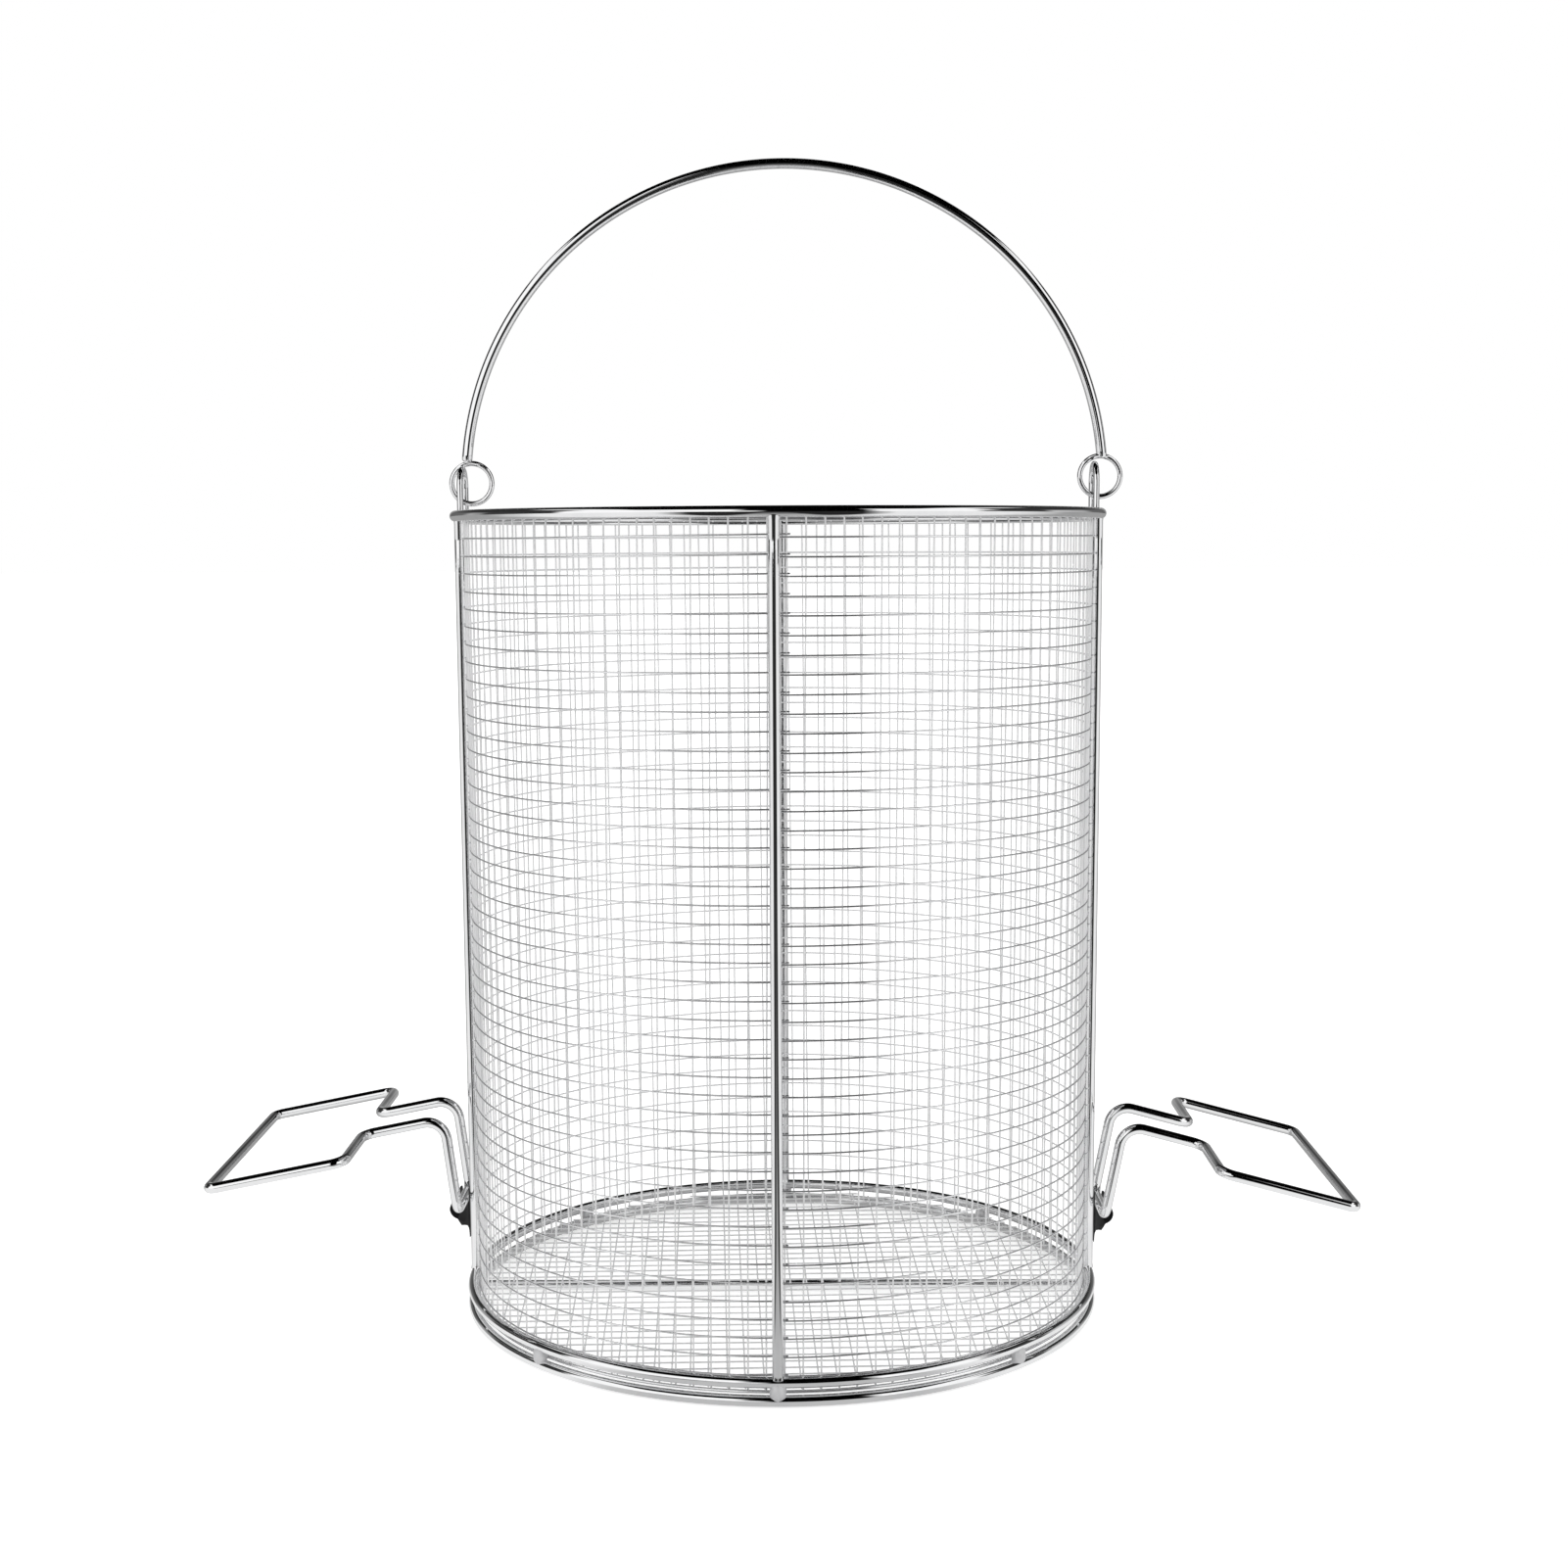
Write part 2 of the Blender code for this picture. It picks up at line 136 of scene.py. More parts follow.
def settle(piece: Piece, smooth_below: float = 50.0) -> None:
    """Merge doubles, turn the faces outwards and shade the piece.

    Args:
        piece: The piece to settle.
        smooth_below: Edges flatter than this many degrees are shaded smooth.
    """
    pick(piece)
    set_mode("EDIT")
    mark_all()
    bpy.ops.mesh.remove_doubles(threshold=MERGE)
    bpy.ops.mesh.normals_make_consistent(inside=False)
    set_mode("OBJECT")
    bpy.ops.object.shade_smooth_by_angle(angle=math.radians(smooth_below))


def around(radius: float, angle: float, height: float) -> Vector:
    """Give the point at a radius, an angle in radians and a height."""
    return Vector((radius * math.sin(angle), -radius * math.cos(angle), height))


def limit(value: float) -> float:
    """Hold a value between 0 and 1."""
    return max(0.0, min(1.0, value))


def move_points(piece: Piece, place: Callable[[Vector], Vector]) -> None:
    """Move every point of a piece to where a formula puts it.

    Args:
        piece: The piece to shape.
        place: Takes a point and gives its new place.
    """
    for point in piece.data.vertices:
        point.co = place(point.co.copy())


def hand_over(piece: Piece, body: Body, slot: Slot, material: Material, *nodes: str) -> None:
    """Give a finished piece its material, its body and the solids that it stands for.

    Args:
        piece: The finished piece.
        body: The body that it moves with.
        slot: The record's material slot; not used.
        material: The finish that it shows.
        nodes: The solids that it replaces.
    """
    piece.data.materials.clear()
    piece.data.materials.append(material)
    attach(piece, body.value)
    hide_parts(*nodes)
    LOG.info("%s: %d triangles", piece.name, sum(len(face.vertices) - 2 for face in piece.data.polygons))


@dataclass
class Rod:
    """A round rod, drawn from its end profile and bent one run after another.

    Attributes:
        name: The piece's name.
        radius: The rod's radius.
        sides: Faces round the rod.
        at: Centre of the section that was made last.
        along: The way the rod runs from there.
    """

    name: str
    radius: float
    sides: int = 24
    at: Vector = field(default_factory=Vector)
    along: Vector = field(default_factory=Vector)

    def start(self, at: Vector, along: Vector) -> "Rod":
        """Put the end profile down and open it for editing.

        Args:
            at: Centre of the end.
            along: The way the rod runs from there.

        Returns:
            The rod itself.
        """
        clear()
        self.at, self.along = Vector(at), Vector(along).normalized()
        turn = self.along.to_track_quat("Z", "Y").to_euler()
        bpy.ops.mesh.primitive_circle_add(vertices=self.sides, radius=self.radius, fill_type="NOTHING",
                                          location=self.at, rotation=turn)
        bpy.context.active_object.name = self.name
        bpy.ops.object.transform_apply(location=True, rotation=True, scale=True)
        set_mode("EDIT")
        mark_all()
        return self

    def straight(self, length: float, cuts: int = 1) -> "Rod":
        """Run the rod straight on.

        Args:
            length: How far.
            cuts: Sections on the way.

        Returns:
            The rod itself.
        """
        for _ in range(cuts):
            bpy.ops.mesh.extrude_region_move(TRANSFORM_OT_translate={"value": self.along * (length / cuts)})
        self.at = self.at + self.along * length
        return self

    def swell(self, steps: Pairs) -> "Rod":
        """Run on in short steps, each ending in a larger or smaller section.

        Args:
            steps: The length of each step, and the factor for its section.

        Returns:
            The rod itself.
        """
        for length, factor in steps:
            self.straight(length)
            bpy.ops.transform.resize(value=(factor, factor, factor), center_override=self.at)
        return self

    def span(self, length: float, foot: Pairs, head: Pairs, cuts: int) -> "Rod":
        """Run straight over a length that swells at its ends.

        Args:
            length: The whole length.
            foot: Steps of the swelling at its start.
            head: Steps of the swelling at its end.
            cuts: Sections between them.

        Returns:
            The rod itself.
        """
        ends = sum(step for step, _ in (*foot, *head))
        return self.swell(foot).straight(length - ends, cuts).swell(head)

    def bend(self, radius: float, angle: float, axis: Vector, steps: int) -> "Rod":
        """Bend the rod by an angle about an axis, right handed.

        Args:
            radius: Bend radius at the rod's centre.
            angle: Angle in radians.
            axis: Axis of the bend.
            steps: Sections in the bend.

        Returns:
            The rod itself.
        """
        axis = Vector(axis).normalized()
        centre = self.at + axis.cross(self.along) * radius
        bpy.ops.mesh.spin(steps=steps, angle=-angle, center=centre, axis=axis)
        turn = Matrix.Rotation(angle, 3, axis)
        self.at = centre + turn @ (self.at - centre)
        self.along = turn @ self.along
        return self

    def finish(self, closed: bool = False) -> Piece:
        """Close the rod: its two ends are filled, or joined to each other.

        Args:
            closed: The rod runs back to its own start.

        Returns:
            The finished piece.
        """
        mark_all()
        bpy.ops.mesh.remove_doubles(threshold=MERGE)
        if closed:
            mark_all(False)
            bpy.ops.mesh.select_non_manifold()
            edited = bpy.context.active_object
            edited.update_from_editmode()
            if any(point.select for point in edited.data.vertices):
                bpy.ops.mesh.bridge_edge_loops()
        else:
            bpy.ops.mesh.fill_holes(sides=0)
        clear()
        piece = bpy.data.objects[self.name]
        settle(piece)
        return piece


def bend_ring(name: str, wire: float, sides: int, radius: float, angle: float, height: float, steps: int) -> Piece:
    """Bend a rod to a level ring round the basket's axis and close it.

    Args:
        name: The piece's name.
        wire: The rod's radius.
        sides: Faces round the rod.
        radius: Radius of the ring's centreline.
        angle: Where its ends meet.
        height: Height of its centreline.
        steps: Sections in the ring.

    Returns:
        The ring.
    """
    rod = Rod(name, wire, sides).start(around(radius, angle, height), around(1.0, angle + math.pi / 2, 0.0))
    return rod.bend(radius, TURN, UP, steps).finish(closed=True)


# Finishes


class Graph:
    """A node tree with short ways to add and link nodes."""

    def __init__(self, tree: bpy.types.NodeTree) -> None:
        """Start on an empty tree."""
        self.tree = tree
        tree.nodes.clear()

    def node(self, kind: str, inputs: dict | None = None, **settings: object) -> bpy.types.Node:
        """Add a node.

        Args:
            kind: The node's type, without ShaderNode in front.
            inputs: Values, or sockets to link, by input name or number.
            settings: The node's own settings.

        Returns:
            The new node.
        """
        made = self.tree.nodes.new(kind if kind.startswith("NodeGroup") else f"ShaderNode{kind}")
        for key, value in settings.items():
            setattr(made, key, value)
        for key, value in (inputs or {}).items():
            if isinstance(value, Socket):
                self.tree.links.new(value, made.inputs[key])
            else:
                made.inputs[key].default_value = value
        return made

    def maths(self, operation: str, first: Socket | float, second: Socket | float = 0.0) -> Socket:
        """Add a maths node and give its result."""
        return self.node("Math", {0: first, 1: second}, operation=operation).outputs[0]

    def mix(self, share: Socket | float, first: Socket | float, second: Socket | float) -> Socket:
        """Go from the first value to the second by a share from 0 to 1."""
        return self.node("Mix", {0: share, 2: first, 3: second}).outputs[0]

    def spread(self, value: Socket, result: tuple[float, float], source: tuple[float, float] = (0.0, 1.0),
               **settings: str) -> Socket:
        """Map a value from one range to another.

        Args:
            value: The value.
            result: The range that it is given.
            source: The range that it comes from.
            settings: The node's own settings.

        Returns:
            The mapped value.
        """
        ends = {"From Min": source[0], "From Max": source[1], "To Min": result[0], "To Max": result[1]}
        return self.node("MapRange", {"Value": value, **ends}, **settings).outputs[0]

    def ramp(self, value: Socket, stops: Pairs, interpolation: str = "LINEAR") -> Socket:
        """Map a value by a ramp of grey stops.

        Args:
            value: The value from 0 to 1.
            stops: Pairs of position and grey value, in order.
            interpolation: How the ramp runs between its stops.

        Returns:
            The ramp's colour output.
        """
        made = self.node("ValToRGB", {0: value})
        made.color_ramp.interpolation = interpolation
        bar = made.color_ramp.elements
        while len(bar) < len(stops):
            bar.new(0.5)
        for element, (position, _) in zip(bar, stops):
            element.position = position
        for element, (_, grey) in zip(bar, stops):
            element.color = (grey, grey, grey, 1.0)
        return made.outputs[0]

    def noise(self, place: Socket, scale: float, detail: float = 2.0, roughness: float = 0.5) -> Socket:
        """Add a noise texture and give its value."""
        return self.node("TexNoise", {"Vector": place, "Scale": scale, "Detail": detail,
                                      "Roughness": roughness}).outputs[0]


def build_effect(name: str, outputs: Sequence[str], wire: Callable[[Graph, Socket], Sequence[Socket]]
                 ) -> bpy.types.NodeTree:
    """Build an effect that several finishes share, as a node group with one place input.

    Args:
        name: The effect's name.
        outputs: Names of its value outputs.
        wire: Adds the nodes and gives the sockets for the outputs.

    Returns:
        The node group.
    """
    tree = bpy.data.node_groups.new(name, "ShaderNodeTree")
    tree.interface.new_socket("Place", in_out="INPUT", socket_type="NodeSocketVector")
    for output in outputs:
        tree.interface.new_socket(output, in_out="OUTPUT", socket_type="NodeSocketFloat")
    graph = Graph(tree)
    results = wire(graph, graph.node("NodeGroupInput").outputs["Place"])
    graph.node("NodeGroupOutput", dict(zip(outputs, results)))
    return tree


def wire_waves(graph: Graph, place: Socket) -> list[Socket]:
    """Wire the shallow waves and the fine drawing lines of bright wire.

    Args:
        graph: The effect's nodes.
        place: Where on the wire.

    Returns:
        The waves and the grain.
    """
    short_waves = graph.maths("MULTIPLY", graph.noise(place, 260.0, 2.0), 0.12)
    return [graph.maths("ADD", graph.noise(place, 38.0, 1.0), short_waves), graph.noise(place, 2200.0, 3.0, 0.6)]


def wire_film(graph: Graph, place: Socket) -> list[Socket]:
    """Wire the faint dulling that handling leaves on bright metal.

    Args:
        graph: The effect's nodes.
        place: Where on the metal.

    Returns:
        The clouds and the spots.
    """
    cloud = graph.noise(place, 55.0, 4.0, 0.6)
    mixed = graph.maths("MULTIPLY", cloud, graph.noise(place, 900.0, 2.0, 0.7))
    return [graph.ramp(cloud, [(0.35, 0.0), (0.7, 1.0)], "EASE"), graph.ramp(mixed, [(0.2, 0.0), (0.42, 1.0)])]


@dataclass(frozen=True)
class Effects:
    """The effects that more than one finish uses.

    Attributes:
        waves: Waves and grain of the wire.
        film: Clouds and spots of the handling film.
    """

    waves: bpy.types.NodeTree
    film: bpy.types.NodeTree

    @classmethod
    def build(cls) -> "Effects":
        """Build each effect once."""
        return cls(waves=build_effect("wire_waves", ["Wave", "Grain"], wire_waves),
                   film=build_effect("handling_film", ["Cloud", "Spots"], wire_film))


class Surface:
    """A material in the making, with the shared effects on it."""

    def __init__(self, name: str, effects: Effects) -> None:
        """Start the material and lay the effects on the piece's own coordinates.

        Args:
            name: The material's name.
            effects: The shared effects.
        """
        self.material = bpy.data.materials.new(name)
        self.material.use_nodes = True
        self.graph = Graph(self.material.node_tree)
        self.place = self.graph.node("TexCoord").outputs["Object"]
        self.film = self.graph.node("Group", node_tree=effects.film).outputs
        self.waves = self.graph.node("Group", node_tree=effects.waves).outputs
        for effect in (self.film, self.waves):
            self.graph.tree.links.new(self.place, effect[0].node.inputs["Place"])

    def tint(self, share: Socket, first: Colour, second: Colour) -> Socket:
        """Go from the first colour to the second by a share from 0 to 1."""
        return self.graph.node("MixRGB", {"Fac": share, "Color1": (*first, 1.0), "Color2": (*second, 1.0)}).outputs[0]

    def dent(self, depth: float, height: Socket, under: dict | None = None) -> Socket:
        """Add a bump of a depth, over another one where that is given as its Normal."""
        return self.graph.node("Bump", {"Strength": 1.0, "Distance": depth, "Height": height,
                                        **(under or {})}).outputs[0]

    def close(self, **inputs: object) -> Material:
        """Put the shader on and give the finished material.

        Args:
            inputs: The shader's inputs by name, with _ for each space.

        Returns:
            The finished material.
        """
        named = {name.replace("_", " "): value for name, value in inputs.items()}
        shader = self.graph.node("BsdfPrincipled", named)
        self.graph.node("OutputMaterial", {"Surface": shader.outputs[0]})
        return self.material


@dataclass(frozen=True)
class MetalFinish:
    """A plated metal surface.

    Attributes:
        name: The material's name.
        clean: Colour of the clean metal.
        dull: Colour under the handling film.
        smooth: Roughness of the clean metal.
        rough: Roughness under the film.
        wave: Depth of the shallow waves.
        grain: Depth of the fine grain.
        metal: Share of the surface that mirrors as bare metal does, the rest being pale and matt.
        inner_metal_painted_pale: The same share on the side that faces the basket's axis, where it differs, painting
            that side paler.
        change: Half the run from one share to the other, as outwardness times distance from the axis.
    """

    name: str
    clean: Colour
    dull: Colour
    smooth: float
    rough: float
    wave: float
    grain: float
    metal: float = 1.0
    inner_metal_painted_pale: float | None = None
    change: float = 30 * MM

    def share_metal(self, made: Surface) -> float | Socket:
        """Give the share of bare metal, with its own value on what faces the basket's axis, where the hoops get a
        painted paler side.

        Args:
            made: The surface that is being made.

        Returns:
            One value, or a socket that changes from the outside to the inside.
        """
        if self.inner_metal_painted_pale is None:
            return self.metal
        graph = made.graph
        # Painted light: the side facing the basket's axis gets its own share of bare metal, which paints the hoops
        # paler there.
        facing = graph.node("TexCoord").outputs["Normal"]
        level = graph.node("VectorMath", {0: made.place, 1: (1.0, 1.0, 0.0)}, operation="MULTIPLY").outputs[0]
        outward = graph.node("VectorMath", {0: level, 1: facing}, operation="DOT_PRODUCT").outputs["Value"]
        return graph.spread(outward, (self.inner_metal_painted_pale, self.metal), (-self.change, self.change))

    def make(self, effects: Effects) -> Material:
        """Make the material.

        Args:
            effects: The shared effects.

        Returns:
            The finished material.
        """
        made = Surface(self.name, effects)
        long_waves = made.dent(self.wave, made.waves["Wave"])
        return made.close(Base_Color=made.tint(made.film["Cloud"], self.clean, self.dull),
                          Metallic=self.share_metal(made),
                          Roughness=made.graph.spread(made.film["Spots"], (self.smooth, self.rough)),
                          Normal=made.dent(self.grain, made.waves["Grain"], {"Normal": long_waves}))


@dataclass(frozen=True)
class CoatFinish:
    """The satin black coat of the hooks.

    Attributes:
        name: The material's name.
        colour: The coat's colour.
        worn: Its colour where it is rubbed.
        smooth: Roughness where it is rubbed.
        rough: Roughness elsewhere.
        peel: Depth of the orange peel.
        shine: Strength of its highlights.
    """

    name: str
    colour: Colour
    worn: Colour
    smooth: float
    rough: float
    peel: float
    shine: float = 0.22

    def make(self, effects: Effects) -> Material:
        """Make the material.

        Args:
            effects: The shared effects.

        Returns:
            The finished material.
        """
        made = Surface(self.name, effects)
        return made.close(Base_Color=made.tint(made.film["Spots"], self.colour, self.worn),
                          Roughness=made.graph.spread(made.film["Cloud"], (self.rough, self.smooth)),
                          Specular_IOR_Level=self.shine, Normal=made.dent(self.peel, made.waves["Grain"]))


@dataclass(frozen=True)
class Finishes:
    """Every finish of the basket, made once.

    Attributes:
        rod: Bright chrome of the frame, bail and loops.
        hoop: Bright plating of the hoops, with a painted paler inside.
        mesh: Plating of the other mesh wires, pale and matt in part: partly dull plating, partly a painted sheen.
        weld: Satin plating of the weld nuggets.
        black: The hooks' coat.
    """

    rod: Material
    hoop: Material
    mesh: Material
    weld: Material
    black: Material

    @classmethod
    def build(cls) -> "Finishes":
        """Make the five finishes.

        Returns:
            The finishes.
        """
        recipes = {
            "rod": MetalFinish("chrome_rod_finish", (0.96, 0.96, 0.965), (0.90, 0.905, 0.915), 0.03, 0.07,
                               0.07 * MM, 0.0002 * MM),
            # The hoops' finish paints their inner side paler: painted light.
            "hoop": MetalFinish("plated_hoop_painted_pale_inside", (0.93, 0.93, 0.94), (0.85, 0.855, 0.87), 0.06, 0.11,
                                0.01 * MM, 0.0003 * MM, 0.90, 0.30),
            # The mesh finish's pale matt share is partly the plating's own dullness and partly painted sheen that
            # makes the wires paler.
            "mesh": MetalFinish("plated_mesh_partly_painted_pale", (0.97, 0.97, 0.975), (0.92, 0.925, 0.935), 0.20, 0.28,
                                0.01 * MM, 0.0004 * MM, 0.36),
            "weld": MetalFinish("plated_weld_finish", (0.76, 0.76, 0.77), (0.66, 0.66, 0.67), 0.50, 0.62,
                                0.10 * MM, 0.02 * MM, 0.35),
            "black": CoatFinish("black_coat_finish", (0.004, 0.004, 0.005), (0.012, 0.012, 0.013), 0.36, 0.50,
                                0.008 * MM)}
        effects = Effects.build()
        return cls(**{name: recipe.make(effects) for name, recipe in recipes.items()})


# The frame of rods


@dataclass
class RingFrame:
    """The three rings, the struts, the crossbar and the weld spacers between the two lower rings.

    Attributes:
        finishes: The finishes.
        wire: Radius of the frame's rod.
        rim_radius: Radius of the top rim's centreline.
        base_radius: Radius of the lower rings' centreline.
        rim_height: Height of the rim's centreline.
        base_height: Height of the base ring's centreline.
        foot_height: Height of the foot ring's centreline.
        ring_steps: Sections in each ring.
        butt_angle: Where each ring is butt welded.
        butt_reach: How far the dressing of that weld goes to each side.
        butt_relief: How much thinner it is ground at its ends, as a share.
        strut_sink: How far the struts' ends stop short of the rings' centrelines.
        head_inset: How far a strut's upper end lies inside the rim's centreline.
        strut_end: How much thicker a strut is at its very ends, as a factor.
        strut_foot: Swelling of the weld at a strut's lower end, as steps and factors.
        strut_head: The same at its upper end.
        crossbar_height: Height of the crossbar's centreline.
        crossbar_reach: Half the crossbar's length.
        crossbar_end: Factor for its size at its rounded ends.
        crossbar_ends: Its swelling from there, and back at the other end.
        nugget_size: Half the width, depth and height of a weld nugget.
        nugget_cut: Half its height after it is cut flat.
        nugget_sink: How far its centre lies outside the rings' centreline.
        nuggets: How many stand round the rings.
        lumps: How uneven they are, as shares of their size.
    """

    finishes: Finishes
    wire: float = 2.0 * MM
    rim_radius: float = 122.8 * MM
    base_radius: float = 121.4 * MM
    rim_height: float = 306.8 * MM
    base_height: float = 8.548 * MM
    foot_height: float = 2.0 * MM
    ring_steps: int = 288
    butt_angle: float = math.radians(152.0)
    butt_reach: float = 2.6 * MM
    butt_relief: float = 0.05
    strut_sink: float = 1.2 * MM
    head_inset: float = 0.25 * MM
    strut_end: float = 1.14
    strut_foot: Pairs = ((0.8 * MM, 0.94), (0.9 * MM, 0.9333))
    strut_head: Pairs = ((0.9 * MM, 1.05), (0.8 * MM, 1.05))
    crossbar_height: float = 2.598 * MM
    crossbar_reach: float = 119.3 * MM
    crossbar_end: float = 0.82
    crossbar_ends: tuple[Pairs, Pairs] = (((0.4 * MM, 1.22),), ((0.4 * MM, 0.82),))
    nugget_size: tuple[float, float, float] = (2.95 * MM, 2.5 * MM, 3.7 * MM)
    nugget_cut: float = 3.4 * MM
    nugget_sink: float = 0.4 * MM
    nuggets: int = 8
    lumps: tuple[float, float] = (0.05, 0.03)

    def build(self) -> None:
        """Build every piece of the frame."""
        self.build_ring("rim_ring", self.rim_radius, self.rim_height, "top_rim")
        self.build_ring("upper_base_ring", self.base_radius, self.base_height, "base_ring")
        self.build_ring("lower_foot_ring", self.base_radius, self.foot_height, "foot_ring")
        for side in Side:
            self.build_strut(side)
        self.build_crossbar()
        self.build_nuggets()

    def build_ring(self, name: str, radius: float, height: float, node: str) -> None:
        """Bend a ring round and butt weld its ends.

        Args:
            name: The piece's name.
            radius: Radius of its centreline.
            height: Height of its centreline.
            node: The solid that it stands for.
        """
        ring = bend_ring(name, self.wire, 24, radius, self.butt_angle, height, self.ring_steps)

        def place(point: Vector) -> Vector:
            """Thin the rod on both sides of its butt weld."""
            angle = math.atan2(point.x, -point.y)
            away = abs((angle - self.butt_angle + math.pi) % TURN - math.pi) * radius
            if away > self.butt_reach:
                return point
            centre = around(radius, angle, height)
            raised = math.cos(away / self.butt_reach * math.pi / 2)
            return centre + (point - centre) * (1.0 + self.butt_relief * raised - self.butt_relief)

        move_points(ring, place)
        hand_over(ring, Body.BASKET, Slot.ROD, self.finishes.rod, node)

    def build_strut(self, side: Side) -> None:
        """Draw a strut from the base ring to the rim, with a flared weld at both ends.

        Args:
            side: The side that it stands on.
        """
        angle = math.radians(side.value)
        foot = around(self.base_radius, angle, self.base_height + self.strut_sink)
        head = around(self.rim_radius - self.head_inset, angle, self.rim_height - self.strut_sink)
        rod = Rod(f"{side.word}_upright", self.wire * self.strut_end).start(foot, head - foot)
        rod.span((head - foot).length, self.strut_foot, self.strut_head, 40)
        hand_over(rod.finish(), Body.BASKET, Slot.ROD, self.finishes.rod, f"{side.word}_strut")

    def build_crossbar(self) -> None:
        """Draw the crossbar under the floor mesh, its ends a little rounded."""
        start = Vector((-self.crossbar_reach, 0, self.crossbar_height))
        rod = Rod("crossbar_rod", self.wire * self.crossbar_end).start(start, ACROSS)
        rod.span(2 * self.crossbar_reach, *self.crossbar_ends, 24)
        hand_over(rod.finish(), Body.BASKET, Slot.ROD, self.finishes.rod, "floor_crossbar")

    def build_nuggets(self) -> None:
        """Set the weld nuggets that hold the foot ring under the base ring."""
        clear()
        middle = (self.foot_height + self.base_height) / 2
        centre = around(self.base_radius + self.nugget_sink, 0.0, middle)
        bpy.ops.mesh.primitive_uv_sphere_add(segments=28, ring_count=18, radius=1.0, location=centre)
        first = bpy.context.active_object
        first.name = "weld_nugget_1"
        bpy.ops.transform.resize(value=self.nugget_size)
        bpy.ops.object.transform_apply(location=True, rotation=True, scale=True)
        set_mode("EDIT")
        for way in (-1, 1):
            mark_all()
            bpy.ops.mesh.bisect(plane_co=centre + UP * (way * self.nugget_cut), plane_no=(0, 0, way),
                                use_fill=True, clear_outer=True)
        set_mode("OBJECT")
        shapes = [first]
        for number in range(2, self.nuggets + 1):
            copy = first.copy()
            copy.data = first.data.copy()
            copy.name = f"weld_nugget_{number}"
            bpy.context.scene.collection.objects.link(copy)
            shapes.append(copy)
        for index, shape in enumerate(shapes):
            self.shape_nugget(shape, centre, index)
            settle(shape, 70)
            hand_over(shape, Body.BASKET, Slot.WELD, self.finishes.weld, f"ring_spacer_{index + 1}")

    def shape_nugget(self, nugget: Piece, centre: Vector, index: int) -> None:
        """Make one nugget uneven, as each weld is, and carry it round to its place.

        Args:
            nugget: The nugget, still at the front.
            centre: Its centre there.
            index: Its number round the rings.
        """
        dice = random.Random(40 + index)
        phases = [dice.uniform(0, TURN) for _ in range(3)]
        turn = Matrix.Rotation(TURN * index / self.nuggets, 3, "Z")

        def place(point: Vector) -> Vector:
            """Add the lumps and turn the point to the nugget's place."""
            out = (point - centre) / MM
            lump = 1.0 + self.lumps[0] * math.sin(1.3 * out.x + phases[0]) * math.sin(1.1 * out.z + phases[1])
            lump += self.lumps[1] * math.sin(2.3 * out.y + 1.7 * out.z + phases[2])
            return turn @ (centre + Vector((out.x * lump, out.y * lump, out.z)) * MM)

        move_points(nugget, place)


@dataclass
class Ears:
    """The two wire ears on the rim that the bail's eyes link through.

    Attributes:
        finishes: The finishes.
        wire: Radius of the ear's wire.
        radius: Distance from the basket's axis.
        spread: Half the distance between the legs.
        foot: Height of the legs' lower ends.
        crowns: Height of the crown's centreline, left and right.
        leg_end: Factor for its size at its very ends.
        leg_foot: Weld flare at the first leg, as steps and factors.
        leg_head: The same at the second leg, the other way round.
    """

    finishes: Finishes
    wire: float = 1.2 * MM
    radius: float = 121.0 * MM
    spread: float = 7.0 * MM
    foot: float = 307.5 * MM
    crowns: tuple[float, float] = (324.8 * MM, 325.6 * MM)
    leg_end: float = 1.5
    leg_foot: Pairs = ((0.8 * MM, 0.86), (0.9 * MM, 0.775))
    leg_head: Pairs = ((0.9 * MM, 1.29), (0.8 * MM, 1.16))

    def build(self) -> None:
        """Bend both ears."""
        for side, crown in zip((Side.LEFT, Side.RIGHT), self.crowns):
            start = Vector((side.sign * self.radius, -self.spread, self.foot))
            leg = crown - self.spread - self.foot
            rod = Rod(f"{side.word}_ear_wire", self.wire * self.leg_end, 20).start(start, UP)
            rod.span(leg, self.leg_foot, (), 4).bend(self.spread, math.pi, -ACROSS, 36)
            rod.span(leg, (), self.leg_head, 4)
            hand_over(rod.finish(), Body.BASKET, Slot.ROD, self.finishes.rod, f"{side.word}_ear")


